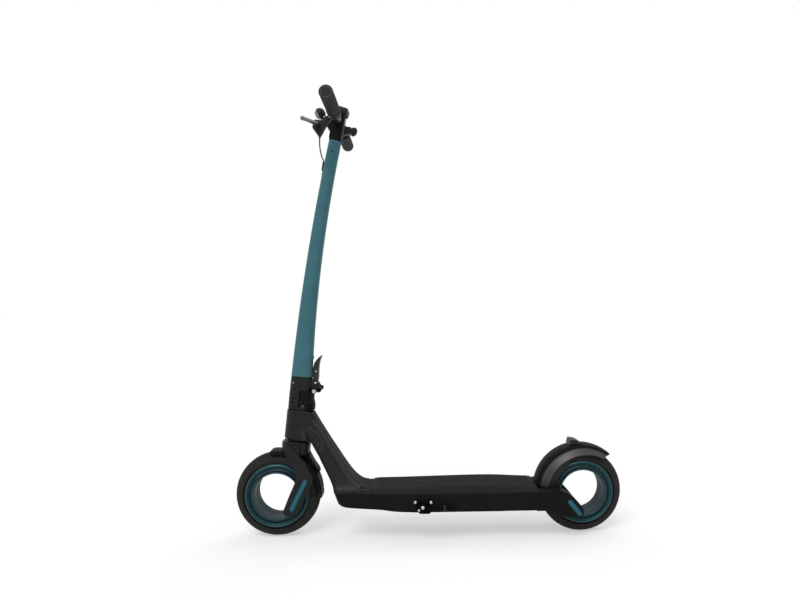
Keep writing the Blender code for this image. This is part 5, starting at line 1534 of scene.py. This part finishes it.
def collar():
    """The collar under the stem, with the knuckle and the lever's cheeks."""
    depth, half = stem_size(STEM_FOOT.z)
    foot = (-0.0315, 0.0270, 0.0245)
    head = (STEM_BACK - depth, STEM_BACK + depth, half)
    loops = []
    for share, less in COLLAR_SLICES:
        front, rear, wide = (mix(a, b, share) for a, b in zip(foot, head))
        loops.append(column_loop(front + less, rear - less, wide - less, 0.020 - less,
                                 mix(COLLAR_LOW, COLLAR_TOP, share), 12))
    lever_frame = wheel_frame(LEVER_PIVOT.x, 0, LEVER_PIVOT.z)
    knob_frame = wheel_frame(KNOB.x, 0, KNOB.z)
    lumps = [lug(PIN, EAR_R, column_point(PIN_BACK - 0.014, PARTING + 0.014), -0.0110, 0.0110)]
    root = column_point(0.0205, PARTING + 0.0225)
    cheek = arc((KNOB.x, KNOB.z), 0.0047, -120, 15, 12)
    cheek += arc((LEVER_PIVOT.x, LEVER_PIVOT.z), 0.0058, 15, 118, 12)
    cheek += [(root[0], root[1] + 0.0060), (root[0], KNOB.z - 0.0005)]
    seam = [column_point(b, h) for b, h in ((-0.0300, 0.1428), (0.0100, 0.1414),
                                            (0.0100, 0.1420), (-0.0300, 0.1434))]
    cuts = []
    for sign in SIGNS:
        lumps.append(tool(prism(cheek, *spread(sign, 0.0091, 0.0126))))
        cuts.append(tool(rod(PIN_FRAME, *spread(sign, 0.0110, 0.0280), KNUCKLE_R, 48)))
        cuts.append(tool(prism(seam, *spread(sign, 0.0238, 0.0300))))
    cuts.append(tool(rod(PIN_FRAME, -0.04, 0.04, PIN_HOLE, 28)))
    for at in (lever_frame, knob_frame):
        cuts.append(tool(rod(at, -0.0200, 0.0200, CHEEK_PIN_R, 24)))
    piece("stem_collar_body", skin(loops), "paint", "stem", ["stem_collar"],
          join=lumps, cut=cuts, sharp=32)
    screws("stem_collar_screws",
           [(column(-0.0208, sign * 0.0215, 0.1510), (-0.45, sign * 0.88, 0), 0.0018, 0.0009)
            for sign in SIGNS], "stem")
    release_lever(lever_frame)
    knob(knob_frame)


def release_lever(at):
    """The release lever behind the stem, with its two rivets."""
    x = LEVER_PIVOT.x
    z = LEVER_PIVOT.z
    blade = [(0.0056, 0.0040), (0.0072, 0.0150), (0.0076, 0.0290), (0.0086, 0.0440),
             (0.0110, 0.0575), (0.0154, 0.0698), (0.0146, 0.0709), (0.0104, 0.0680),
             (0.0028, 0.0605), (-0.0034, 0.0510), (-0.0064, 0.0400), (-0.0076, 0.0280),
             (-0.0074, 0.0120), (-0.0052, 0.0030)]
    outline = arc((0.0, 0.0), 0.0048, 190, 352, 18) + spline(blade, 4)
    outline = [(x + dx, z + dz) for dx, dz in outline]
    hollow = [(0.0003, 0.0190), (0.0016, 0.0190), (0.0016, 0.0380), (0.0030, 0.0480),
              (0.0058, 0.0570), (0.0050, 0.0585), (0.0012, 0.0490), (0.0001, 0.0380)]
    hollow = [(x + dx, z + dz) for dx, dz in fillet(hollow, 0.001, 3)]
    cuts = [tool(prism(hollow, *spread(sign, 0.0076, 0.0120))) for sign in SIGNS]
    stub = tool(rod(at, -0.0140, 0.0140, 0.0018, 24))
    piece("fold_lever_blade", prism(outline, -0.0085, 0.0085), "dark_metal", "release_lever",
          ["fold_lever"], cut=cuts, bevel=0.0012, segments=3, angle=40)
    merge("fold_lever_pin", [stub], "steel", "release_lever")
    spots = []
    for sign in SIGNS:
        spots.append(((x + 0.0012, sign * 0.0084, z + 0.0290), (0, sign, 0), 0.0021, 0.0008))
        spots.append(((x, sign * 0.0132, z), (0, sign, 0), 0.0030, 0.0019))
    screws("fold_lever_rivets", spots, "release_lever")


def knurled(at, low, high, radius, depth, teeth):
    """A round knob with shallow teeth round its rim."""
    bevel = 0.0008
    loops = []
    rows = [(low, radius - bevel, 0.0), (low + bevel, radius, depth), (high - bevel, radius, depth),
            (high, radius - bevel, 0.0)]
    count = teeth * 6
    for height, r, cut_in in rows:
        loop = []
        for i in range(count):
            angle = 2 * math.pi * i / count
            here = r - cut_in * (1.0 if i % 6 in (0, 1) else 0.0)
            loop.append(at @ Vector((here * math.cos(angle), here * math.sin(angle), height)))
        loops.append(loop)
    return skin(loops)


def knob(at):
    """The lock knob: a barrel between the cheeks and a ribbed wheel at each end of its pin."""
    wheels = []
    beads = []
    for sign in SIGNS:
        larger = -0.0009 * sign
        wheels.append(tool(knurled(at, *spread(sign, 0.0227, 0.0262), 0.0070 + larger, 0.0013,
                                   14)))
        for i in range(9):
            spot = Matrix.Rotation(math.radians(40 * i), 4, "Z")
            spot = at @ spot @ Matrix.Translation((0.0056 + larger, 0, sign * 0.0262))
            beads.append(screw_head(spot, 0.0007, 0.0004))
    merge("lock_knob_beads", beads, "case", "catch_knob")
    dimples = [tool(rod(at, *spread(sign, 0.0255, 0.0300), 0.0038, 32)) for sign in SIGNS]
    shaft = tool(rod(at, -0.0230, 0.0230, 0.0018, 24))
    piece("lock_knob_barrel", knurled(at, -0.0085, 0.0085, 0.0056, 0.0005, 16), "black",
          "catch_knob", ["lock_knob"], join=[shaft] + wheels, cut=dimples,
          sharp=30)


# Stem

def stem_loop(z, slope, wall):
    """A slice of the stem, square to its middle line."""
    depth, width = stem_size(z)
    return [Vector((stem_x(z) + u, v, z - u * slope))
            for u, v in oval_loop(depth - wall, width - wall)]


STEM_WALL = 0.0025


def stem():
    """The bowed tube, its screws, bumpers and cable gland."""
    steps = 64
    outer = []
    inner = []
    lean = math.tan(math.radians(STEER_TILT))
    for i in range(steps + 1):
        z = mix(STEM_FOOT.z, STEM_TOP_Z, i / steps)
        slope = mix(lean, stem_slope(z), min(1.0, i / 8))
        outer.append(stem_loop(z, slope, 0.0))
        inner.append(stem_loop(z, slope, STEM_WALL))
    piece("stem_tube_shell", skin(outer + list(reversed(inner)), closed=True), "teal", "stem",
          ["stem_tube"], sharp=34)
    screws("stem_side_screws",
           [((x, sign * (stem_size(z)[1] - 0.0002), z), (0, sign, 0), 0.0021, 0.0007)
            for sign in SIGNS for x, z in ((-0.2530, 1.0130), (-0.2556, 0.9924))],
           "stem", "ring_dark")
    pads = []
    for z in (0.461, 0.430):
        depth = stem_size(z)[0]
        slope = stem_slope(z)
        at = axis_frame((stem_x(z) + depth - 0.0004, 0.0, z - depth * slope), (1, 0, -slope))
        shape = [(-0.0004, 0.0041), (0.0010, 0.0041), (0.0019, 0.0034), (0.0022, 0.0020)]
        pads.append(tool(lathe(at, shape, 28, closed=False)))
    merge("stem_bumpers", pads, "rubber", "stem")
    gland()


def gland():
    """The small boss on the stem's front that takes the brake cable in."""
    rows = spline([(-GLAND_HALF, 0.18), (-0.0110, 0.50), (-0.0070, 0.76), (0.0, 0.91),
                   (0.0085, 0.99), (0.0112, 0.99), (GLAND_HALF, 0.86)], 3)
    loops = []
    for rise, share in rows:
        z = GLAND_MIDDLE + rise
        front = stem_front(z) - SEAT
        proud = GLAND_PROUD * share
        half = 0.0045 + 0.0015 * share
        flat = [(0.0006, -half), (0.0, -half)]
        for degrees in range(-75, 76, 15):
            angle = math.radians(degrees)
            flat.append((-proud * math.cos(angle) ** 0.8, half * math.sin(angle)))
        flat += [(0.0, half), (0.0006, half)]
        loops.append([Vector((front + u, v, z)) for u, v in flat])
    piece("cable_gland_boss", skin(loops), "plastic", "stem", ["cable_gland"],
          sharp=40)
    top = GLAND_MIDDLE + GLAND_HALF
    centre = Vector((stem_front(top) - SEAT - 0.45 * GLAND_PROUD, 0.0, top))
    ring = [(0.0000, 0.0018), (0.0000, 0.0027), (0.0012, 0.0026), (0.0018, 0.0018)]
    turned("cable_gland_sleeve", axis_frame(centre, (0, 0, 1)), ring, 24, "rubber", "stem")
    plug_z = 0.9360
    screws("stem_front_plug",
           [((stem_front(plug_z) - 0.0007, 0.0, plug_z), (-1, 0, -0.2), 0.0030, 0.0012)],
           "stem", "plastic")


# Handlebar

BAR_FRAME = wheel_frame(BAR_X, 0, BAR_HEIGHT)


def stem_head():
    """The clamp on top of the stem, with its band, screws and front plate."""
    foot = STEM_TOP_Z + SEAT
    depth = stem_size(STEM_TOP_Z)[0] - 0.0006
    foot_x = stem_x(STEM_TOP_Z)
    rise = depth * stem_slope(STEM_TOP_Z)
    outline = [(foot_x - depth, foot + rise, 0.0008), (foot_x + depth, foot - rise, 0.0008)]
    outline += bar_points((0.0125, -0.0230, 0.006), (0.0150, -0.0080, 0.006),
                          (0.0175, 0.0080, 0.006))
    for u in (0.0090, -0.0110):
        seat = DISPLAY_FRAME @ Vector((u, 0, -0.0090 - SEAT))
        outline.append((seat.x, seat.z, 0.0004))
    outline += bar_points((-0.0120, 0.0155, 0.007), (-0.0290, 0.0120, 0.007),
                          (-0.0315, 0.0, 0.007), (-0.0290, -0.0130, 0.007),
                          (-0.0185, -0.0230, 0.007))
    outline = fillet(outline, 0.006, 6)
    split = bar_points(*corners((-0.0340, -0.0100), (-0.0004, 0.0004)))
    cuts = [tool(rod(BAR_FRAME, -0.05, 0.05, BAR_HOLE, 56)),
            tool(prism(split, -0.03, 0.03))]
    piece("stem_head_clamp", prism(outline, -0.0180, 0.0180), "body", "stem",
          ["stem_head"], cut=cuts, bevel=0.0028, segments=4, angle=40)
    band = []
    for z, grow in ((STEM_TOP_Z - 0.0038, 0.0002), (STEM_TOP_Z - 0.0032, 0.0010),
                    (STEM_TOP_Z + 0.0046, 0.0010), (STEM_TOP_Z + 0.0056, 0.0)):
        wide = stem_size(min(z, STEM_TOP_Z))
        slope = stem_slope(STEM_TOP_Z)
        band.append([Vector((stem_x(z) + u, v, z - u * slope)) for u, v in
                     oval_loop(wide[0] + grow - 0.0004, wide[1] + grow - 0.0002)])
    piece("stem_head_band", skin(band), "body", "stem", sharp=40)
    spots = []
    for sign in SIGNS:
        spots.append(((BAR_X - 0.0215, sign * 0.0110, BAR_HEIGHT + 0.0128), (-0.18, 0, 1),
                      0.0026, 0.0018))
        spots.append(((BAR_X - 0.0200, sign * 0.0179, BAR_HEIGHT + 0.0040), (0, sign, 0),
                      0.0022, 0.0010))
    screws("stem_head_screws", spots, "stem")
    plate = bar_points((0.0148, -0.0070), (0.0172, 0.0078), (0.0196, 0.0084),
                       (0.0174, -0.0072))
    piece("stem_head_plate", prism(plate, -0.0105, 0.0105), "lever", "stem",
          bevel=0.0007, segments=2)


def bar():
    """The bar and its two knurled grips."""
    half = BAR_LENGTH / 2 - 0.0025
    pipe = [(-half, 0.0091), (half, 0.0091), (half, 0.0111), (-half, 0.0111)]
    turned("handlebar_tube", BAR_FRAME, pipe, 56, "dark_metal", "stem",
           ["handlebar"])
    for side, sign in SIDES:
        grip(side, sign)


# The grip's length, and its knurling: points round it, rows along it, cell size and depth
GRIP_LENGTH = 0.1250
KNURL_ROUND = 144
KNURL_ROWS = 144
KNURL_CELL = 8
KNURL_DEPTH = 0.00055


def grip(side, sign):
    """One grip: diamond knurling, a flange at its inner end and a capped outer end."""
    end = BAR_LENGTH / 2
    inner = end - GRIP_LENGTH
    rows = [(end - 0.0022, 0.0114, 0), (inner, 0.0114, 0), (inner, 0.0170, 0),
            (inner + 0.0008, 0.0179, 0), (inner + 0.0034, 0.0179, 0), (inner + 0.0044, 0.0172, 0),
            (inner + 0.0056, 0.0160, 0), (inner + 0.0080, 0.0159, 0)]
    start = inner + 0.0086
    stop = end - 0.0078
    for j in range(KNURL_ROWS + 1):
        share = j / KNURL_ROWS
        swell = 0.00035 * math.sin(math.pi * share)
        rows.append((mix(start, stop, share), 0.01635 + swell, j + 1))
    rows += [(end - 0.0072, 0.0159, 0), (end - 0.0060, 0.0159, 0), (end - 0.0054, 0.0166, 0),
             (end - 0.0022, 0.0166, 0), (end - 0.0007, 0.0160, 0), (end, 0.0146, 0),
             (end, 0.0129, 0), (end - 0.0008, 0.0125, 0), (end - 0.0008, 0.0122, 0),
             (end - 0.0001, 0.0118, 0), (end, 0.0105, 0)]
    loops = []
    for height, radius, row in rows:
        loop = []
        for i in range(KNURL_ROUND):
            angle = 2 * math.pi * i / KNURL_ROUND
            r = radius
            if row and ((i + row) % KNURL_CELL == 0 or (i - row) % KNURL_CELL == 0):
                r -= KNURL_DEPTH
            point = Vector((r * math.cos(angle), r * math.sin(angle), sign * height))
            loop.append(BAR_FRAME @ point)
        loops.append(loop)
    piece(f"grip_{side}_knurled", skin(loops), "rubber", "stem",
          [f"grip_{side}"], sharp=38)
    disc = handed([(end - 0.0030, 0.0104), (end - 0.0005, 0.0104), (end - 0.0002, 0.0098),
                   (end - 0.0001, 0.0060)], sign)
    turned(f"grip_{side}_plug", BAR_FRAME, disc, 56, "black", "stem", closed=False)
    rim = handed(corners((end - 0.0012, end - 0.0004), (0.0118, 0.0127)), sign)
    turned(f"grip_{side}_rim", BAR_FRAME, rim, 64, "lever", "stem")


# The display's slices in its own frame: height, and how much smaller
DISPLAY_SLICES = ((-0.0090, 0.0026), (-0.0082, 0.0012), (-0.0062, 0.0), (0.0058, 0.0),
                  (0.0070, 0.0005), (0.0077, 0.0014), (0.0080, 0.0026))
BUTTON_PLACE = 0.0062


def display():
    """The display unit, its dark glass and the power button."""
    at = DISPLAY_FRAME
    loops = [level(at, box_loop(0.0135 - less, 0.0215 - less, 0.0050, 10), z)
             for z, less in DISPLAY_SLICES]
    button_frame = at @ Matrix.Translation((BUTTON_PLACE, 0, 0))
    well = tool(rod(button_frame, 0.0040, 0.0180, 0.0045, 40))
    face = [level(at, box_loop(0.0108, 0.0188, 0.0034, 8), z) for z in (0.0068, 0.0100)]
    seam = [level(at, box_loop(0.0150, 0.0230, 0.0060, 8), z) for z in (-0.0020, -0.0012)]
    core = [level(at, box_loop(0.0130, 0.0210, 0.0046, 8), z) for z in (-0.0030, 0.0)]
    ring = carve(tool(skin(seam)), [tool(skin(core))])
    piece("display_case", skin(loops), "plastic", "stem", ["display"],
          cut=[tool(skin(face)), ring, well], sharp=32)
    glass = [level(at, box_loop(0.0106 - less, 0.0186 - less, 0.0033, 8), z)
             for z, less in ((0.0069, 0.0), (0.0078, 0.0), (0.0081, 0.0004))]
    hole = tool(rod(button_frame, 0.0040, 0.0180, 0.0048, 40))
    piece("display_face", skin(glass), "screen", "stem", cut=[hole], sharp=30)
    cap = [(0.0055, 0.0042), (0.0086, 0.0042), (0.0091, 0.0038), (0.0092, 0.0030)]
    turned("power_button_cap", button_frame, cap, 40, "rubber", "button",
           ["power_button"], closed=False)
    mark = []
    for i in range(21):
        angle = math.radians(-62 + 304 * i / 20 - 90)
        mark.append([button_frame @ Vector((-r * math.sin(angle), r * math.cos(angle), z))
                     for r, z in ((0.00140, 0.0090), (0.00185, 0.0090), (0.00185, 0.00935),
                                  (0.00140, 0.00935))])
    piece("power_button_mark", skin(mark), "mark", "button", sharp=30)


def headlamp():
    """The round headlamp: shell and arm, reflector, light source, lens and screw."""
    dip = math.radians(28.0)
    at = axis_frame((BAR_X - 0.0481, 0, BAR_HEIGHT + 0.0220), (-math.cos(dip), 0, -math.sin(dip)))
    r = 0.0152
    shell = [(r * math.sin(math.radians(a)), r * math.cos(math.radians(a)))
             for a in (-76, -68, -60, -52, -44, -36, -28, -20)]
    shell += [(-0.0040, 0.01465), (-0.0036, 0.01420), (-0.0026, 0.01420), (-0.0022, 0.01475)]
    shell += [(0.0, 0.0152), (0.0020, 0.0150), (0.0034, 0.0145), (0.0040, 0.0137)]
    shell += [(0.0037, 0.0131), (0.0010, 0.0129)]
    arm = bar_points((-0.0300, 0.0050), (-0.0285, 0.0125), (-0.0400, 0.0230),
                     (-0.0430, 0.0120))
    join = [tool(prism(fillet(arm, 0.003, 5), -0.0060, 0.0060))]
    piece("headlamp_shell", lathe(at, shell, 72, closed=False), "plastic", "stem",
          ["headlamp"], join=join, sharp=34)
    bowl = [(0.0011, 0.0127), (0.0036, 0.0127), (0.0036, 0.0123), (0.0027, 0.0104),
            (0.0018, 0.0075), (0.0014, 0.0042), (0.0013, 0.0030)]
    turned("headlamp_bowl", at, bowl, 64, "bowl", "stem", closed=False)
    spot = [(0.0014, 0.0024), (0.0024, 0.0022), (0.0028, 0.0014)]
    turned("headlamp_source", at, spot, 24, "mark", "stem", closed=False, sharp=36)
    lens = [(0.0034, 0.0128), (0.0044, 0.0130), (0.0070, 0.0121), (0.0096, 0.0101),
            (0.0114, 0.0072), (0.0122, 0.0039), (0.0124, 0.0008)]
    turned("headlamp_glass", at, lens, 64, "lens", "stem", ["headlamp_lens"],
           closed=False, sharp=40)
    screws("headlamp_screw",
           [((BAR_X - 0.0360, -0.0059, BAR_HEIGHT + 0.0130), (0, -1, 0), 0.0023, 0.0014)], "stem")


def lever_block(pivot, along_axis, along_pull, along_y):
    """A block round the brake lever's pivot, square to the lever's axis."""
    loops = []
    for y in along_y:
        flat = box_loop(along_pull, along_axis, 0.0015, 6)
        loops.append([pivot + Vector((0, y, 0)) + BRAKE_PULL * u + BRAKE_AXIS * v
                      for u, v in flat])
    return tool(skin(loops))


def clamp_ring(low, high, corner):
    """The ring of a housing round the bar."""
    profile = [(low, 0.0120), (low, 0.0160), (high, 0.0160), (high, 0.0120)]
    return tool(lathe(BAR_FRAME, fillet(profile, corner, 3, False), 64, closed=False))


def brake():
    """The brake lever's housing on the bar, with its screws and adjuster, and its lever."""
    low = -0.0865
    high = -0.0695
    shape = [(-0.0040, -0.0140), (-0.0210, -0.0360), (-0.0330, -0.0590), (-0.0390, -0.0590),
             (-0.0530, -0.0400), (-0.0510, -0.0250), (-0.0430, -0.0205), (-0.0300, -0.0205),
             (-0.0130, -0.0080)]
    outline = fillet(bar_points(*shape), 0.0030, 5)
    ring = clamp_ring(low, high, 0.0012)
    pivot = Vector((BAR_X - 0.0425, low - 0.0058, BAR_HEIGHT - 0.0325))
    reach = 0.0048
    cheeks = lever_block(pivot, reach + 0.0022, 0.0066, (-0.0062, 0.0085))
    slot = lever_block(pivot, reach, 0.0300, (-0.0200, 0.0064))
    pivot_frame = axis_frame(pivot, BRAKE_AXIS)
    split = bar_points(*corners((0.0090, 0.0190), (-0.0004, 0.0004)))
    cuts = [slot, tool(rod(pivot_frame, -0.02, 0.02, 0.0025, 28)),
            tool(rod(BAR_FRAME, low - 0.01, high + 0.01, BAR_HOLE, 56)),
            tool(prism(split, low - 0.005, high + 0.005))]
    moulded("brake_housing_body", prism(outline, low, high), 0.0018, [ring, cheeks], cuts,
            "stem", ["brake_housing"])
    screws("brake_housing_screws",
           [((BAR_X - 0.0100, low + 0.0001, BAR_HEIGHT - 0.0130), (0, -1, 0), 0.0026, 0.0012),
            ((BAR_X - 0.0120, high - 0.0001, BAR_HEIGHT - 0.0180), (0, 1, 0), 0.0022, 0.0011)],
           "stem")
    nut = [(0.0, 0.0017), (0.0, 0.0032), (0.0044, 0.0030), (0.0052, 0.0017)]
    exit_at = Vector((BAR_X - 0.0360, -0.0780, BAR_HEIGHT - 0.0588))
    turned("brake_adjuster", axis_frame(exit_at, (0, 0, -1)), nut, 24, "dark_steel", "stem")
    brake_lever(pivot, pivot_frame)


def brake_lever(pivot, pivot_frame):
    """The lever, from its barrel round the pivot to the ball at its end."""
    tip = Vector((BAR_X - 0.0590, -0.1810, BAR_HEIGHT - 0.0480))
    barrel = fillet([(-0.0042, 0.0030), (-0.0042, 0.0058), (0.0042, 0.0058), (0.0042, 0.0030)],
                    0.0006, 3, False)
    steps = 26
    loops = []
    for i in range(steps + 1):
        share = i / steps
        spot = pivot.lerp(tip, share) + BRAKE_PULL * (0.001 * math.sin(math.pi * share))
        wide = mix(0.0046, 0.0040, share) - 0.0003 * math.sin(math.pi * share)
        thick = mix(0.0042, 0.0040, share)
        flat = box_loop(wide, thick, 0.0017, 6)
        loops.append([spot + BRAKE_PULL * u + BRAKE_AXIS * v for u, v in flat])
    ball = [(0.0052 * math.sin(math.radians(a)), 0.0052 * math.cos(math.radians(a)))
            for a in range(-80, 81, 10)]
    join = [tool(skin(loops)), tool(lathe(axis_frame(tip, (0, -1, 0)), ball, 40, closed=False)),
            tool(rod(pivot_frame, -0.0068, 0.0068, 0.0022, 28))]
    piece("brake_lever_blade", lathe(pivot_frame, barrel, 48, closed=False), "lever",
          "brake_handle", ["brake_lever"], join=join, sharp=36)


def throttle():
    """The thumb throttle: a housing round the bar, a ribbed body and the paddle."""
    low = 0.0595
    high = 0.0765
    shape = [(-0.0020, 0.0110, 0.0), (0.0250, 0.0080, 0.003), (0.0285, 0.0040, 0.002),
             (0.0285, -0.0060, 0.003), (0.0235, -0.0105, 0.003), (-0.0020, -0.0130, 0.0)]
    outline = fillet(bar_points(*shape), 0.002, 5)
    x, z = bar_points((0.0200, 0.0020))[0]
    thumb = wheel_frame(x, 0, z)
    groove = bar_points(*corners((0.0279, 0.0300), (-0.0070, 0.0050)))
    cuts = [tool(rod(BAR_FRAME, low - 0.01, high + 0.01, BAR_HOLE, 56)),
            tool(rod(thumb, high - 0.0093, high + 0.005, 0.0028, 32))]
    cuts += [tool(prism(groove, *around(low + 0.0046 + 0.0040 * i, 0.0006))) for i in range(3)]
    moulded("throttle_housing_body", prism(outline, low + 0.0002, high - 0.0001), 0.0010,
            [clamp_ring(low, high, 0.0010)], cuts, "stem", ["throttle_housing"])
    y_low = high + SEAT
    flat = arc((x, z), 0.0070, 80, 250, 18)
    rest = bar_points((0.0290, -0.0110, 0.006), (0.0360, -0.0080, 0.006),
                      (0.0405, 0.0000, 0.004), (0.0405, 0.0090, 0.002), (0.0330, 0.0125, 0.005))
    flat += fillet([flat[-1]] + rest + [flat[0]], 0.003, 5, False)[1:-1]
    notch = bar_points(*corners((0.0398, 0.0420), (-0.0010, 0.0084)))
    notches = [tool(prism(notch, *around(y_low + 0.0020 + 0.0020 * i, 0.0004)))
               for i in range(5)]
    pin = tool(rod(thumb, high - 0.0090, y_low + 0.004, 0.0025, 32))
    moulded("throttle_paddle_thumb", prism(flat, y_low, y_low + 0.0120), 0.0010, [pin], notches,
            "thumb_paddle", ["throttle_paddle"])
    screws("throttle_paddle_screw",
           [((x, y_low + 0.0119, z), (0, 1, 0), 0.0026, 0.0012)], "thumb_paddle")


hinge_block()
collar()
stem()
stem_head()
bar()
display()
headlamp()
brake()
throttle()


# What is kept of the CAD model: the parts inside

INNER = {
    "battery_pack": "wrap",
    "controller": "case",
    "headset_bearing_upper": "dark_steel",
    "headset_bearing_lower": "dark_steel",
    "steerer_tube": "steel",
    "front_stator": "copper",
    "rear_brake_band": "dark_steel",
    "deck_cover": "dark_metal",
}


def dress_inner():
    """Puts the refined finishes on the CAD nodes that are kept as they are."""
    for name, finish in INNER.items():
        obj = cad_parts[name]
        obj.data.materials.clear()
        obj.data.materials.append(FINISH[finish])


dress_inner()


# Studio

SKY_LEVEL = 0.56
FLOOR_REACH = 40.0
FLOOR_TONE = 0.97
FLOOR_GLOW = 0.45

# The lamps: name, the direction towards it, strength and width in degrees
LAMPS = (
    ("key", (-0.38, -0.75, 1.0), 1.60, 34),
    ("fill", (0.4, 0.5, 1.0), 0.45, 44),
)


def background_rays(tree):
    """One for rays that show the white background, seen directly, mirrored or through glass."""
    path = node(tree, "ShaderNodeLightPath")
    seen = math_node(tree, "ADD", path.outputs["Is Camera Ray"], path.outputs["Is Glossy Ray"])
    seen = math_node(tree, "ADD", seen, path.outputs["Is Transmission Ray"])
    return math_node(tree, "MINIMUM", seen, 1.0)


def sky():
    """A plain sky, white where it is seen and dimmer where it only lights."""
    world = bpy.data.worlds.new("studio")
    bpy.context.scene.world = world
    world.use_nodes = True
    tree = world.node_tree
    tree.nodes.clear()
    output = node(tree, "ShaderNodeOutputWorld")
    backdrop = node(tree, "ShaderNodeBackground")
    backdrop.inputs["Color"].default_value = (1.0, 1.0, 1.0, 1.0)
    strength = map_range(tree, background_rays(tree), 0.0, 1.0, SKY_LEVEL, 1.0)
    tree.links.new(strength, backdrop.inputs["Strength"])
    tree.links.new(backdrop.outputs[0], output.inputs[0])


def lamps():
    """Two soft lamps."""
    for name, aim, strength, soft in LAMPS:
        data = bpy.data.lights.new(name, "SUN")
        data.energy = strength
        data.angle = math.radians(soft)
        lamp = bpy.data.objects.new(name, data)
        lamp.rotation_euler = Vector(aim).to_track_quat("Z", "Y").to_euler()
        bpy.context.scene.collection.objects.link(lamp)


def floor_paper():
    """White paper that glows where it is seen, so that its far edge meets the backdrop."""
    paper = bpy.data.materials.new("floor_paper")
    paper.use_nodes = True
    tree = paper.node_tree
    tree.nodes.clear()
    output = node(tree, "ShaderNodeOutputMaterial")
    diffuse = node(tree, "ShaderNodeBsdfDiffuse")
    diffuse.inputs["Color"].default_value = (FLOOR_TONE, FLOOR_TONE, FLOOR_TONE, 1.0)
    glow = node(tree, "ShaderNodeEmission")
    blend = node(tree, "ShaderNodeMixShader")
    share = math_node(tree, "MULTIPLY", background_rays(tree), FLOOR_GLOW)
    tree.links.new(share, blend.inputs[0])
    tree.links.new(diffuse.outputs[0], blend.inputs[1])
    tree.links.new(glow.outputs[0], blend.inputs[2])
    tree.links.new(blend.outputs[0], output.inputs[0])
    return paper


def floor():
    """The floor, a wide plane at z = 0."""
    ends = (-FLOOR_REACH, FLOOR_REACH)
    mesh = bpy.data.meshes.new("floor")
    mesh.from_pydata([(x, y, 0) for x, y in corners(ends, ends)], [], [(0, 1, 2, 3)])
    mesh.materials.append(floor_paper())
    plane = bpy.data.objects.new("floor", mesh)
    bpy.context.scene.collection.objects.link(plane)


sky()
lamps()
floor()
bpy.context.scene.view_settings.view_transform = "Standard"
